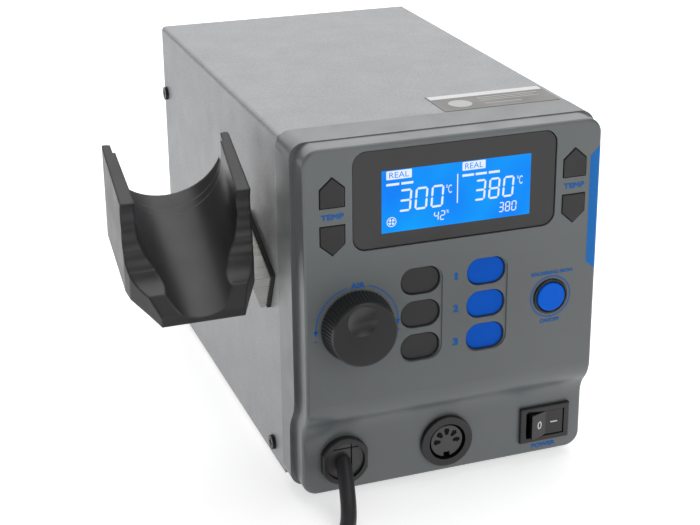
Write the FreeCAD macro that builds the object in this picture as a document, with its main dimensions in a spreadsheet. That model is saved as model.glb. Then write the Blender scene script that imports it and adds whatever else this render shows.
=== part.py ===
import FreeCAD, Part

import math
import os
import re

import Sketcher
from FreeCAD import Placement, Rotation, Vector

# Hot air and soldering station, in millimetres.
# +X is the station's right as seen from its front, +Y points to its back, +Z is up.
# The origin is on the table, at the middle of the station, its cradle and the
# handpiece. The helpers work from the point below the middle of the plane where
# the case meets the bezel's flange, and node() shifts each finished part.

doc = FreeCAD.newDocument("hot_air_station")
sheet = doc.addObject("Spreadsheet::Sheet", "Params")

PARAMETERS = {
    # what the origin is shifted by, from the bezel flange's middle
    "origin_x": 13.75,
    "origin_y": -4.35,
    # case
    "foot_height": 4.0,
    "foot_radius": 6.5,
    "foot_inset_x": 14.0,
    "foot_inset_y": 20.0,
    "case_width": 118.0,
    "case_height": 136.6,
    "case_depth": 174.5,
    "sheet_gauge": 1.0,
    "bend_radius": 2.0,
    "tray_gauge": 1.2,
    "tray_lip": 12.0,
    "rear_gauge": 1.5,
    "rear_inset": 2.5,
    # front bezel
    "bezel_depth": 25.6,
    "bezel_band": 9.5,
    "flange_width": 119.6,
    "flange_height": 139.0,
    "flange_bottom": 3.0,
    "face_width": 116.0,
    "face_height": 138.4,
    "face_bottom": 3.3,
    "bezel_corner": 6.0,
    "bezel_wall": 2.4,
    "edge_round": 1.1,
    "recess_depth": 6.5,
    "s_radius": 13.0,
    "s_centre_z": 34.5,
    # display
    "window_width": 79.6,
    "window_height": 37.2,
    "window_z": 120.7,
    "window_corner": 5.2,
    "window_inset": 0.5,
    "window_gauge": 1.6,
    "lcd_x": 0.4,
    "lcd_z": 119.4,
    "lcd_width": 58.2,
    "lcd_height": 23.4,
    # keys
    "key_gap": 0.3,
    "key_travel": 0.6,
    "key_proud": 0.3,
    "preset_proud": -1.3,
    "button_proud": 1.2,
    "temp_key_x": 47.3,
    "temp_key_width": 9.0,
    "temp_key_low": 113.2,
    "temp_key_high": 120.2,
    "temp_key_side": 6.9,
    "temp_key_apex": 10.9,
    "air_keys_x": -13.5,
    "iron_keys_x": 12.7,
    "preset_z": 74.2,
    "preset_pitch": 13.2,
    "preset_width": 15.0,
    "preset_height": 10.3,
    "preset_corner": 4.9,
    "well_width": 17.0,
    "well_height": 37.4,
    "well_corner": 5.4,
    "well_depth": 0.5,
    "iron_button_x": 39.3,
    "iron_button_z": 73.3,
    "iron_button_radius": 5.7,
    "iron_ring_radius": 7.0,
    "board_y": -12.4,
    "board_gauge": 1.6,
    # air knob
    "knob_x": -38.3,
    "knob_z": 73.6,
    "knob_base_radius": 13.9,
    "knob_front_radius": 12.3,
    "knob_height": 8.6,
    "knob_clear": 0.5,
    "knob_teeth": 60,
    "dimple_offset": 5.5,
    "dimple_radius": 5.7,
    "dimple_depth": 1.5,
    "shaft_radius": 3.0,
    # lower row: lead gland, iron socket, power switch
    "lower_row_z": 16.4,
    "gland_x": -41.8,
    "gland_radius": 9.8,
    "gland_flat": 9.0,
    "gland_bore": 7.6,
    "socket_radius": 10.6,
    "socket_bore": 6.5,
    "switch_x": 41.8,
    "switch_width": 21.0,
    "switch_height": 15.0,
    "switch_rim": 1.8,
    "rocker_length": 15.4,
    "rocker_width": 10.4,
    "rocker_tilt": 20.0,
    # cradle
    "cradle_x": -92.8,
    "cradle_width": 47.2,
    "cradle_back_radius": 3.0,
    "cradle_rear_y": 29.5,
    "cradle_nose_y": -18.6,
    "cradle_nose_width": 30.0,
    "cradle_tip_z": 135.2,
    "cradle_wall_z": 121.4,
    "trough_rear_radius": 19.7,
    "trough_front_radius": 17.5,
    "trough_rear_z": 110.0,
    "trough_front_z": 83.0,
    "bracket_gauge": 1.5,
    "bracket_pad": 1.6,
    # lead and handpiece
    "lead_diameter": 6.0,
    "coil_x": -85.0,
    "coil_y": -100.0,
    "coil_inner": 21.8,
    "coil_outer": 40.2,
    "coil_height": 12.2,
    "tool_x": -66.0,
    "tool_y": -158.4,
    "tool_turn": -4.0,
    "grip_radius": 15.0,
    "fan_radius": 18.5,
    "barrel_radius": 11.0,
    "nozzle_radius": 11.6,
    "nozzle_bore": 5.0,
}

for row, (alias, value) in enumerate(PARAMETERS.items(), start=1):
    sheet.set(f"A{row}", alias)
    sheet.set(f"B{row}", str(value))
    sheet.setAlias(f"B{row}", alias)
doc.recompute()


def dim(alias):
    """A driving dimension, read from the sheet."""
    return float(sheet.get(alias))


def linked(expression):
    """An expression in aliases, written for setExpression."""
    return re.sub(r"[a-z]\w*_\w+", lambda word: "Params." + word.group(0), str(expression))


def place(obj, x=0, y=0, z=0, rotation=None):
    """Put an object at three bound coordinates."""
    obj.Placement = Placement(Vector(), rotation or Rotation())
    for axis, expression in zip("xyz", (x, y, z)):
        obj.setExpression(f"Placement.Base.{axis}", linked(expression))
    return obj


ALONG_X = Rotation(Vector(0, 1, 0), 90)
ALONG_Y = Rotation(Vector(1, 0, 0), -90)

counter = {}


def helper_name(stem):
    """A numbered name for a construction object."""
    counter[stem] = counter.get(stem, 0) + 1
    return f"{stem}_{counter[stem]}"


def box(x, y, z, dx, dy, dz):
    """A block from its low corner and its three sides."""
    block = doc.addObject("Part::Box", helper_name("block"))
    for prop, expression in zip(("Length", "Width", "Height"), (dx, dy, dz)):
        block.setExpression(prop, linked(expression))
    return place(block, x, y, z)


def centred_box(x, y, z, dx, dy, dz):
    """A block centred across X and Z, with its front face at y."""
    return box(f"{x} - ({dx}) / 2", y, f"{z} - ({dz}) / 2", dx, dy, dz)


def rod(x, y, z, radius, length, rotation=None):
    """A cylinder that starts at a point, along +Z or as turned."""
    cylinder = doc.addObject("Part::Cylinder", helper_name("rod"))
    cylinder.setExpression("Radius", linked(radius))
    cylinder.setExpression("Height", linked(length))
    return place(cylinder, x, y, z, rotation)


def fuse(*shapes):
    """The union of several objects."""
    union = doc.addObject("Part::MultiFuse", helper_name("union"))
    union.Shapes = list(shapes)
    return union


def cut(base, *tools):
    """The base without the tools."""
    result = doc.addObject("Part::Cut", helper_name("cut"))
    result.Base = base
    result.Tool = tools[0] if len(tools) == 1 else fuse(*tools)
    return result


def common(first, second):
    """What two objects share."""
    result = doc.addObject("Part::MultiCommon", helper_name("common"))
    result.Shapes = [first, second]
    return result


def group(*pieces):
    """Separate identical solids that make up one node."""
    compound = doc.addObject("Part::Compound", helper_name("group"))
    compound.Links = list(pieces)
    return compound


nodes = {}


def node(label, obj):
    """Name a finished sub-part, and count its place from the origin."""
    known = {path.lstrip("."): expression for path, expression in obj.ExpressionEngine}
    for axis in "xy":
        path = f"Placement.Base.{axis}"
        obj.setExpression(path, f"{known.get(path, '0')} - Params.origin_{axis}")
    obj.Label = label
    nodes[label] = obj
    return obj


def body(name):
    return doc.addObject("PartDesign::Body", name)


def sketch_on(part, role, name, offset=0):
    """A sketch on one of the body's own origin planes, moved along the plane's normal."""
    sketch = part.newObject("Sketcher::SketchObject", name)
    plane = next(f for f in part.Origin.OriginFeatures if f.Role == role)
    sketch.AttachmentSupport = (plane, [""])
    sketch.MapMode = "FlatFace"
    sketch.setExpression("AttachmentOffset.Base.z", linked(offset))
    return sketch


def polygon(sketch, points):
    """A closed outline of straight edges through (x, y) points."""
    ring = [Vector(x, y, 0) for x, y in points]
    for start, end in zip(ring, ring[1:] + ring[:1]):
        sketch.addGeometry(Part.LineSegment(start, end), False)


def rounded_rectangle(sketch, x, y, width, height, radius):
    """A rectangle with rounded corners, centred on a point."""
    across, up = width / 2 - radius, height / 2 - radius
    corners = [(1, 1), (-1, 1), (-1, -1), (1, -1)]
    for quarter, (sx, sy) in enumerate(corners):
        start = quarter * math.pi / 2
        centre = Vector(x + sx * across, y + sy * up, 0)
        circle = Part.Circle(centre, Vector(0, 0, 1), radius)
        arc = Part.ArcOfCircle(circle, start, start + math.pi / 2)
        next_sx, next_sy = corners[(quarter + 1) % 4]
        turn = start + math.pi / 2
        reach = Vector(radius * math.cos(turn), radius * math.sin(turn), 0)
        next_centre = Vector(x + next_sx * across, y + next_sy * up, 0)
        sketch.addGeometry(arc, False)
        sketch.addGeometry(Part.LineSegment(centre + reach, next_centre + reach), False)


def circle(sketch, x, y, radius):
    """A circle whose radius is bound to the sheet."""
    index = sketch.addGeometry(Part.Circle(Vector(x, y, 0), Vector(0, 0, 1), 1.0), False)
    constraint = sketch.addConstraint(Sketcher.Constraint("Radius", index, 1.0))
    sketch.setExpression(f"Constraints[{constraint}]", linked(radius))


def pad(part, sketch, length, reverse=False, midplane=False):
    """Extrude a sketch into material."""
    feature = part.newObject("PartDesign::Pad", helper_name("pad"))
    feature.Profile = sketch
    feature.setExpression("Length", linked(length))
    feature.Reversed = reverse
    feature.Midplane = midplane
    return feature


def pocket(part, sketch, length, reverse=False, midplane=False):
    """Cut a sketch out of the material."""
    feature = part.newObject("PartDesign::Pocket", helper_name("pocket"))
    feature.Profile = sketch
    feature.setExpression("Length", linked(length))
    feature.Reversed = reverse
    feature.Midplane = midplane
    return feature


def prism(name, outline, arguments, y, length):
    """A body whose outline in the XZ plane runs from y back by length."""
    part = body(name)
    sketch = sketch_on(part, "XZ_Plane", f"{name}_outline", f"-({y})")
    outline(sketch, *arguments)
    pad(part, sketch, length, reverse=True)
    return part


def revolved(name, outline):
    """A body of revolution about the X axis, from a half outline in the XY plane."""
    part = body(name)
    sketch = sketch_on(part, "XY_Plane", f"{name}_profile")
    polygon(sketch, outline)
    feature = part.newObject("PartDesign::Revolution", helper_name("turn"))
    feature.Profile = sketch
    feature.ReferenceAxis = (sketch, ["H_Axis"])
    feature.Angle = 360.0
    return part


def front_rounded(obj, radius):
    """Round the edges around an object's foremost flat face."""
    doc.recompute()
    front = obj.Shape.BoundBox.YMin
    edges = [
        (index, radius, radius)
        for index, edge in enumerate(obj.Shape.Edges, start=1)
        if edge.BoundBox.YMax - front < 1e-4
    ]
    rounded = doc.addObject("Part::Fillet", helper_name("rounded"))
    rounded.Base = obj
    rounded.Edges = edges
    return rounded


# ---------------------------------------------------------------- sheet-metal case

def cover_shell(width, height, gauge, depth, radius):
    """An upturned U of bent sheet, open below, in front and behind."""
    below = 10.0
    middle = dim("foot_height") + (height - below) / 2
    outer = prism("cover_outer", rounded_rectangle, (0, middle, width, height + below, radius),
                  "0", "case_depth")
    inner = prism("cover_inner", rounded_rectangle,
                  (0, middle, width - 2 * gauge, height + below - 2 * gauge, radius - gauge),
                  "-1", "case_depth + 2")
    under = box("-case_width", -5, "foot_height - 50", "case_width * 2", "case_depth + 10", 50)
    return cut(outer, inner, under)


COVER_SCREWS = [(14.4, 10.2), (170.0, 110.6), (170.0, 10.2)]
BRACKET_SCREWS = [(15.0, 78.5), (28.0, 84.5)]


def across_case(y, z, radius):
    """A rod right through the case from side to side."""
    return rod("-case_width", y, z, radius, "case_width * 2", ALONG_X)


def case_cover():
    shell = cover_shell(dim("case_width"), dim("case_height"), dim("sheet_gauge"),
                        dim("case_depth"), dim("bend_radius"))
    holes = [across_case(y, z, 1.6) for y, z in COVER_SCREWS]
    holes += [rod("-case_width", y, z, 1.6, "case_width", ALONG_X) for y, z in BRACKET_SCREWS]
    return cut(shell, *holes)


def base_tray():
    """The floor plate with its upturned lips."""
    half = "case_width / 2 - sheet_gauge"
    floor = box(f"-({half})", 0.5, "foot_height", f"2 * ({half})",
                "case_depth - rear_inset - 0.5", "tray_gauge")
    left = box(f"-({half})", 0.5, "foot_height", "tray_gauge",
               "case_depth - rear_inset - 0.5", "tray_lip")
    right = box(f"{half} - tray_gauge", 0.5, "foot_height", "tray_gauge",
                "case_depth - rear_inset - 0.5", "tray_lip")
    front = box(f"-({half})", 0.5, "foot_height", f"2 * ({half})", "tray_gauge", "tray_lip")
    back = box(f"-({half})", "case_depth - rear_inset - tray_gauge", "foot_height",
               f"2 * ({half})", "tray_gauge", "tray_lip")
    side_holes = [across_case(y, z, 1.35) for y, z in COVER_SCREWS if z < 30]
    foot_holes = [rod(x, y, 0, 1.7, 20) for x, y in foot_places()]
    vents = [box(-30 + 8 * k, 60, 0, 3, 34, 10) for k in range(8)]
    screw_holes = [rod(x, -2, z, 1.5, 8, ALONG_Y) for x, z in BEZEL_SCREWS]
    posts = [fuse(rod(x, y, "foot_height + 0.5", 2.6, "11.5 - foot_height"),
                  rod(x, y, "foot_height + 0.5", 1.5, "15.5 - foot_height"))
             for x, y in standoff_places()]
    plate = cut(fuse(floor, left, right, front, back), *side_holes, *foot_holes, *vents,
                *screw_holes)
    return fuse(plate, *posts)


def foot_places():
    """The middle of each foot, as expressions."""
    across = "(case_width / 2 - foot_inset_x)"
    return [(f"{side}{across}", y) for side in ("-", "")
            for y in ("foot_inset_y", "case_depth - foot_inset_y")]


def rubber_feet():
    """Round feet with a hollow for the screw's head."""
    feet = []
    for x, y in foot_places():
        disc = rod(x, y, 0, "foot_radius", "foot_height")
        hollow = rod(x, y, -1, 3.4, "foot_height - 0.6")
        hole = rod(x, y, -1, 1.7, 20)
        feet.append(cut(disc, hollow, hole))
    return group(*feet)


def cover_screws():
    """Three black screws on each side of the cover."""
    screws = []
    for y, z in COVER_SCREWS:
        for side, turn in ((-1, ALONG_X), (1, Rotation(Vector(0, 1, 0), -90))):
            start = f"{side} * (case_width / 2 + 1.4)"
            head = rod(start, y, z, 2.9, 1.4, turn)
            shank = rod(start, y, z, 1.3, 6.0, turn)
            slot = centred_box(f"{side} * (case_width / 2 + 1.4)", f"{y} - 0.35", z, 1.2, 0.7, 3.6)
            bar = box(f"{side} * (case_width / 2 + 1.4) - 0.6", f"{y} - 1.8", f"{z} - 0.35",
                      1.2, 3.6, 0.7)
            screws.append(cut(fuse(head, shank), slot, bar))
    return group(*screws)


def rear_panel():
    """The back plate with the inlet's cut-out, the fan-free vents and its screw holes."""
    y = "case_depth - rear_inset"
    low = dim("foot_height") + dim("tray_gauge")
    high = dim("foot_height") + dim("case_height") - dim("sheet_gauge") - 0.2
    plate = prism("rear_plate", rounded_rectangle,
                  (0, (low + high) / 2, dim("case_width") - 2 * dim("sheet_gauge") - 0.2,
                   high - low, dim("bend_radius") - dim("sheet_gauge") + 0.2), y, "rear_gauge")
    inlet = centred_box(30, f"{y} - 5", 34, 27.4, 10, 20.4)
    slots = [box(-44 + 6.5 * column, f"{y} - 5", 72 + 26 * row, 2.6, 10, 20)
             for column in range(14) for row in range(2)]
    return cut(plate, inlet, *slots)


def mains_inlet():
    """A three-pin appliance inlet: flange, shell and its blind cavity."""
    y = "case_depth - rear_inset + rear_gauge"
    flange = centred_box(30, y, 34, 30.6, 2.0, 23.6)
    shell = centred_box(30, f"{y} - 16", 34, 27.0, 16, 20.0)
    cavity = centred_box(30, f"{y} - 13", 34, 24.0, 20, 16.0)
    blades = [centred_box(x, f"{y} - 22", z, 2.0, 16, 4.0)
              for x, z in ((23.5, 32.5), (30, 36.5), (36.5, 32.5))]
    return fuse(cut(fuse(flange, shell), cavity), *blades)


# ---------------------------------------------------------------- front bezel

def side_profile(name, shift, width):
    """The bezel's solid side profile: upright, a tangent S of two arcs, upright again."""
    part = body(name)
    sketch = sketch_on(part, "YZ_Plane", f"{name}_side")
    front = shift - dim("bezel_depth")
    recess = front + dim("recess_depth")
    radius = dim("s_radius")
    turn = math.acos(1 - dim("recess_depth") / (2 * radius))
    rise = radius * math.sin(turn)
    upper = dim("s_centre_z") + rise
    lower = dim("s_centre_z") - rise
    top, bottom, back = 160.0, -10.0, 20.0
    normal = Vector(0, 0, 1)
    convex = Part.Circle(Vector(front + radius, upper, 0), normal, radius)
    concave = Part.Circle(Vector(recess - radius, lower, 0), normal, radius)
    sketch.addGeometry(Part.LineSegment(Vector(front, top, 0), Vector(front, upper, 0)), False)
    sketch.addGeometry(Part.ArcOfCircle(convex, math.pi, math.pi + turn), False)
    sketch.addGeometry(Part.ArcOfCircle(concave, 0, turn), False)
    sketch.addGeometry(Part.LineSegment(Vector(recess, lower, 0), Vector(recess, bottom, 0)), False)
    sketch.addGeometry(Part.LineSegment(Vector(recess, bottom, 0), Vector(back, bottom, 0)), False)
    sketch.addGeometry(Part.LineSegment(Vector(back, bottom, 0), Vector(back, top, 0)), False)
    sketch.addGeometry(Part.LineSegment(Vector(back, top, 0), Vector(front, top, 0)), False)
    pad(part, sketch, width, midplane=True)
    return part


def bezel_block(name, width, height, bottom, corner, shift):
    """A rounded block behind the side profile, as deep as the bezel."""
    middle = bottom + height / 2
    outline = prism(f"{name}_front", rounded_rectangle, (0, middle, width, height, corner),
                    "-bezel_depth", "bezel_depth")
    return common(outline, side_profile(f"{name}_side", shift, 140))


def front_outline_edges(shape, width, height, bottom):
    """The edges where a bezel block's front meets its outside."""
    chosen = []
    for index, edge in enumerate(shape.Edges, start=1):
        middle = edge.valueAt((edge.FirstParameter + edge.LastParameter) / 2)
        outside = (abs(abs(middle.x) - width / 2) < 2 or middle.z > bottom + height - 2
                   or middle.z < bottom + 2)
        along_depth = edge.BoundBox.YLength > 7 or middle.y > -1
        if outside and not along_depth:
            chosen.append(index)
    return chosen


def window_outline(sketch):
    rounded_rectangle(sketch, 0, dim("window_z"), dim("window_width"), dim("window_height"),
                      dim("window_corner"))


def house(sketch, x, base, side, apex, width, grow=0.0):
    """A key outline with a pointed end: base line, side length and apex, all along Z."""
    up = 1 if apex > 0 else -1
    half = width / 2 + grow
    slope = grow * 0.45
    polygon(sketch, [
        (x - half, base - up * grow),
        (x + half, base - up * grow),
        (x + half, base + side + up * slope),
        (x, base + apex + up * grow * 1.3),
        (x - half, base + side + up * slope),
    ])


def preset_places():
    """Name, X and Z of the six preset keys, from the top down."""
    places = []
    for kind in ("air", "iron"):
        for number in (1, 2, 3):
            x = dim(f"{kind}_keys_x")
            z = dim("preset_z") + (2 - number) * dim("preset_pitch")
            places.append((f"{kind}_preset_{number}", x, z))
    return places


def temp_key_places():
    """Name, outline base, side length, apex height and X of the four pointed keys."""
    side, apex = dim("temp_key_side"), dim("temp_key_apex")
    places = []
    for kind, sign in (("air", -1), ("iron", 1)):
        x = sign * dim("temp_key_x")
        places.append((f"{kind}_temp_up", dim("temp_key_high"), side, apex, x))
        places.append((f"{kind}_temp_down", dim("temp_key_low"), -side, -apex, x))
    return places


def preset_outline(sketch, x, z, grow):
    rounded_rectangle(sketch, x, z, dim("preset_width") + 2 * grow,
                      dim("preset_height") + 2 * grow, dim("preset_corner") + grow)


def temp_outline(sketch, x, base, side, apex, grow):
    house(sketch, x, base, side, apex, dim("temp_key_width"), grow)


def well_outline(sketch, x):
    rounded_rectangle(sketch, x, dim("preset_z"), dim("well_width"), dim("well_height"),
                      dim("well_corner"))


def front_bezel():
    """The moulded front: a shallow tray with a flange, an S-shaped step and all its openings."""
    width, height, bottom = dim("face_width"), dim("face_height"), dim("face_bottom")
    corner, wall, band = dim("bezel_corner"), dim("bezel_wall"), dim("bezel_band")
    face = bezel_block("face_block", width, height, bottom, corner, 0)
    doc.recompute()
    rounded = doc.addObject("Part::Fillet", "face_rounded")
    rounded.Base = face
    rounded.Edges = [(index, dim("edge_round"), dim("edge_round"))
                     for index in front_outline_edges(face.Shape, width, height, bottom)]
    flange = bezel_block("flange_block", dim("flange_width"), dim("flange_height"),
                         dim("flange_bottom"), corner, band)
    cavity = bezel_block("cavity_block", width - 2 * wall, height - 2 * wall, bottom + wall,
                         corner - wall, wall)
    through = "bezel_depth + 2"
    gap = dim("key_gap")
    tools = [cavity, prism("window_hole", window_outline, (), "-bezel_depth - 1", through)]
    for name, x, z in preset_places():
        tools.append(prism(f"{name}_hole", preset_outline, (x, z, gap), "-bezel_depth - 1", through))
    for name, base, side, apex, x in temp_key_places():
        tools.append(prism(f"{name}_hole", temp_outline, (x, base, side, apex, gap),
                           "-bezel_depth - 1", through))
    for kind in ("air", "iron"):
        tools.append(prism(f"{kind}_well", well_outline, (dim(f"{kind}_keys_x"),),
                           "-bezel_depth - 1", "well_depth + 1"))
    front = "-bezel_depth - 1"
    tools.append(rod("iron_button_x", front, "iron_button_z", "iron_ring_radius + 0.05",
                     through, ALONG_Y))
    tools.append(rod("knob_x", front, "knob_z", 4.6, through, ALONG_Y))
    tools.append(rod("gland_x", front, "lower_row_z", 8.3, through, ALONG_Y))
    tools.append(rod(0, front, "lower_row_z", 8.6, through, ALONG_Y))
    tools.append(centred_box("switch_x", front, "lower_row_z", 19.0, through, 13.0))
    shell = cut(fuse(rounded, flange), *tools)
    return fuse(shell, *bezel_bosses(), *board_posts())


BEZEL_SCREWS = [(-54, 8.6), (-22, 9.5), (22, 9.5), (54, 8.6)]


def bezel_bosses():
    """Screw bosses behind the bezel's lower wall."""
    bosses = []
    for x, z in BEZEL_SCREWS:
        post = rod(x, "-bezel_depth + recess_depth + bezel_wall - 0.5", z, 2.6,
                   "bezel_depth - recess_depth - bezel_wall + 0.9", ALONG_Y)
        bosses.append(cut(post, rod(x, -7.5, z, 1.4, 10, ALONG_Y)))
    return bosses


def board_posts():
    """Hollow posts that carry the control board behind the bezel's wall."""
    posts = []
    for x, z in board_corners():
        start = "-bezel_depth + bezel_wall - 0.5"
        post = rod(x, start, z, 3.0, "board_y + bezel_depth - bezel_wall + 0.5", ALONG_Y)
        posts.append(cut(post, rod(x, "board_y - 5", z, 1.4, 8, ALONG_Y)))
    return posts


def chassis_screws():
    """The screws through the feet, the tray's front lip and the control board."""
    screws = []
    for x, y in foot_places():
        head = rod(x, y, "foot_height - 3.1", 2.8, 1.5)
        shank = rod(x, y, "foot_height - 3.1", 1.5, 8.0)
        nut = rod(x, y, "foot_height + tray_gauge", 2.7, 2.2)
        screws.append(fuse(head, shank, nut))
    for x, z in BEZEL_SCREWS:
        head = rod(x, "tray_gauge + 0.5", z, 2.3, 1.8, ALONG_Y)
        shank = rod(x, -7, z, 1.4, "7 + tray_gauge + 0.6", ALONG_Y)
        screws.append(fuse(head, shank))
    for x, z in board_corners():
        head = rod(x, "board_y + board_gauge", z, 2.6, 1.6, ALONG_Y)
        shank = rod(x, "board_y - 4", z, 1.4, "board_gauge + 5", ALONG_Y)
        screws.append(fuse(head, shank))
    return group(*screws)


# ---------------------------------------------------------------- display and keys

def display_window():
    pane = prism("window_pane", window_pane_outline, (), "-bezel_depth + window_inset",
                 "window_gauge")
    return front_rounded(pane, 0.35)


def window_pane_outline(sketch):
    slack = 0.15
    rounded_rectangle(sketch, 0, dim("window_z"), dim("window_width") - 2 * slack,
                      dim("window_height") - 2 * slack, dim("window_corner") - slack)


def lcd_frame():
    """The frame behind the window that holds the display's glass."""
    back = "-bezel_depth + bezel_wall + 0.1"
    seat = "-bezel_depth + window_inset + window_gauge"
    outer = centred_box(0, back, "window_z - 1", "window_width + 2.6", 6.0, "window_height - 2")
    ledge = prism("window_ledge", window_pane_outline, (), seat, 2.0)
    inner = centred_box("lcd_x", "-bezel_depth", "lcd_z", "lcd_width + 4", 12.0, "lcd_height + 4")
    return cut(fuse(outer, ledge), inner)


def lcd_glass():
    return centred_box("lcd_x", "-bezel_depth + bezel_wall + 0.2", "lcd_z", "lcd_width + 3.6", 2.4,
                       "lcd_height + 3.6")


def control_board():
    """The board behind the keys, with its four corner holes."""
    plate = box(-53, "board_y", 52, 106, "board_gauge", 84)
    holes = [rod(x, "board_y - 5", z, 1.6, 10, ALONG_Y) for x, z in board_corners()]
    chips = [box(-20, "board_y + board_gauge", 70, 14, 1.6, 14),
             box(14, "board_y + board_gauge", 96, 10, 1.4, 6),
             box(-46, "board_y + board_gauge", 60, 16, 8, 6)]
    return fuse(cut(plate, *holes), *chips)


def board_corners():
    return [(-50, 55.5), (50, 55.5), (-50, 95), (50, 95)]


def key_centres():
    """X and Z of every key, for the switches behind them."""
    centres = [(x, z) for name, x, z in preset_places()]
    centres += [(x, base + side / 2) for name, base, side, apex, x in temp_key_places()]
    centres.append((dim("iron_button_x"), dim("iron_button_z")))
    return centres


def key_switches():
    """A small push switch on the board behind each key."""
    switches = []
    for x, z in key_centres():
        base = centred_box(x, "board_y - 3.6", z, 6.0, 3.6, 6.0)
        plunger = rod(x, "board_y - 4.8", z, 1.7, 1.4, ALONG_Y)
        switches.append(fuse(base, plunger))
    return group(*switches)


def moving_key(name, outline, place_of, centre, proud, rounding):
    """A cap in the bezel's wall, a flange behind the wall and a stem to the switch."""
    x, z = centre
    front = f"-bezel_depth - {proud}"
    cap = prism(f"{name}_cap", outline, (*place_of, 0.0), front, f"({proud}) + bezel_wall + 0.6")
    crowned = front_rounded(cap, rounding)
    flange = prism(f"{name}_flange", outline, (*place_of, 0.9), "-bezel_depth + bezel_wall + 0.12",
                   1.0)
    stem = centred_box(x, "-bezel_depth + bezel_wall + 1", z, 3.4,
                       "board_y - 4.8 - key_travel - 0.1 + bezel_depth - bezel_wall - 1", 3.4)
    return fuse(crowned, flange, stem)


def round_cap(sketch, x, z, grow):
    circle(sketch, x, z, f"iron_button_radius + {grow}")


def iron_button_ring():
    """The fixed black ring around the round key."""
    outer = rod("iron_button_x", "-bezel_depth - 0.8", "iron_button_z", "iron_ring_radius",
                "bezel_wall + 0.8", ALONG_Y)
    bore = rod("iron_button_x", "-bezel_depth - 2", "iron_button_z", "iron_button_radius + key_gap",
               "bezel_wall + 4", ALONG_Y)
    return front_rounded(cut(outer, bore), 0.4)


# ---------------------------------------------------------------- air knob

def air_knob():
    """A round knob with a ribbed rim, a finger dimple off its centre and a blind bore."""
    front = "-bezel_depth - knob_clear - knob_height"
    cone = doc.addObject("Part::Cone", "knob_cone")
    for setting, name in (("Radius1", "knob_front_radius"), ("Radius2", "knob_base_radius"),
                          ("Height", "knob_height")):
        cone.setExpression(setting, f"Params.{name}")
    place(cone, "knob_x", front, "knob_z", ALONG_Y)
    shaped = front_rounded(cone, 0.8)
    flare = (dim("knob_base_radius") - dim("knob_front_radius")) / dim("knob_height")
    start_y = 1.3 - dim("bezel_depth") - dim("knob_clear") - dim("knob_height")
    start_radius = dim("knob_front_radius") + 1.3 * flare + 0.12
    teeth = int(dim("knob_teeth"))
    grooves = []
    for k in range(teeth):
        angle = 2 * math.pi * k / teeth
        out = Vector(math.cos(angle), 0, math.sin(angle))
        groove = doc.addObject("Part::Cylinder", helper_name("groove"))
        groove.Radius, groove.Height = 0.42, dim("knob_height")
        low = Vector(dim("knob_x"), start_y, dim("knob_z")) + out * start_radius
        groove.Placement = Placement(low, Rotation(Vector(0, 0, 1), Vector(0, 1, 0) + out * flare))
        grooves.append(groove)
    ball_radius = (dim("dimple_radius") ** 2 + dim("dimple_depth") ** 2) / (2 * dim("dimple_depth"))
    ball = doc.addObject("Part::Sphere", "dimple_ball")
    ball.Radius = ball_radius
    place(ball, "knob_x - 1", f"{front} - {ball_radius:.4f} + dimple_depth",
          "knob_z + dimple_offset")
    bore = rod("knob_x", f"{front} + 3", "knob_z", "shaft_radius + 0.02", 30, ALONG_Y)
    return cut(shaped, ball, bore, *grooves)


def encoder_shaft():
    return rod("knob_x", "-bezel_depth - knob_clear - knob_height + 3.2", "knob_z",
               "shaft_radius", "knob_height + 9.4", ALONG_Y)


def encoder_body():
    """The rotary encoder on the board, with the threaded bush its shaft turns in."""
    case = centred_box("knob_x", "board_y - 6.5", "knob_z", 12.0, 6.5, 12.4)
    bush = rod("knob_x", "board_y - 13.5", "knob_z", 3.9, 7.5, ALONG_Y)
    bore = rod("knob_x", "board_y - 14", "knob_z", "shaft_radius + 0.06", 13, ALONG_Y)
    return cut(fuse(case, bush), bore)


# ---------------------------------------------------------------- lower row

def recess_y(offset):
    return f"-bezel_depth + recess_depth + {offset}"


def flats(obj, x, half, y):
    """Keep only what lies between two flats across X."""
    keep = centred_box(x, y, "lower_row_z", f"2 * ({half})", 40, 60)
    return common(obj, keep)


def lead_gland():
    """The lead's bush in the bezel, with flats at its sides and a stepped bore."""
    ring = rod("gland_x", recess_y(-2.6), "lower_row_z", "gland_radius", 2.6, ALONG_Y)
    ring = front_rounded(flats(ring, "gland_x", "gland_flat", recess_y(-10)), 0.7)
    barrel = rod("gland_x", recess_y(-1), "lower_row_z", 8.2, 13, ALONG_Y)
    bore = rod("gland_x", recess_y(-5), "lower_row_z", "gland_bore", 40, ALONG_Y)
    return cut(fuse(ring, barrel), bore)


def gland_clamp():
    """Two grey jaws that grip the lead inside the bush."""
    core = rod("gland_x", recess_y(-1.4), "lower_row_z", "gland_bore - 0.05", 12, ALONG_Y)
    split = centred_box("gland_x + 2.6", recess_y(-3), "lower_row_z", 0.5, 2.6, 30)
    lip = centred_box("gland_x", recess_y(-3), "lower_row_z + 5.2", 30, 2.4, 0.5)
    return cut(core, split, lip)


def socket_shell():
    """The iron socket's metal ring and its threaded barrel."""
    ring = rod(0, recess_y(-1.8), "lower_row_z", "socket_radius", 1.8, ALONG_Y)
    ring = front_rounded(ring, 0.5)
    barrel = rod(0, recess_y(-0.5), "lower_row_z", 8.5, 14.5, ALONG_Y)
    bore = rod(0, recess_y(-5), "lower_row_z", 7.5, 40, ALONG_Y)
    return cut(fuse(ring, barrel), bore)


def contact_places():
    """Five contacts on the upper half of a circle."""
    radius = 4.4
    return [(radius * math.cos(math.radians(a)), radius * math.sin(math.radians(a)))
            for a in (0, 45, 90, 135, 180)]


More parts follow.
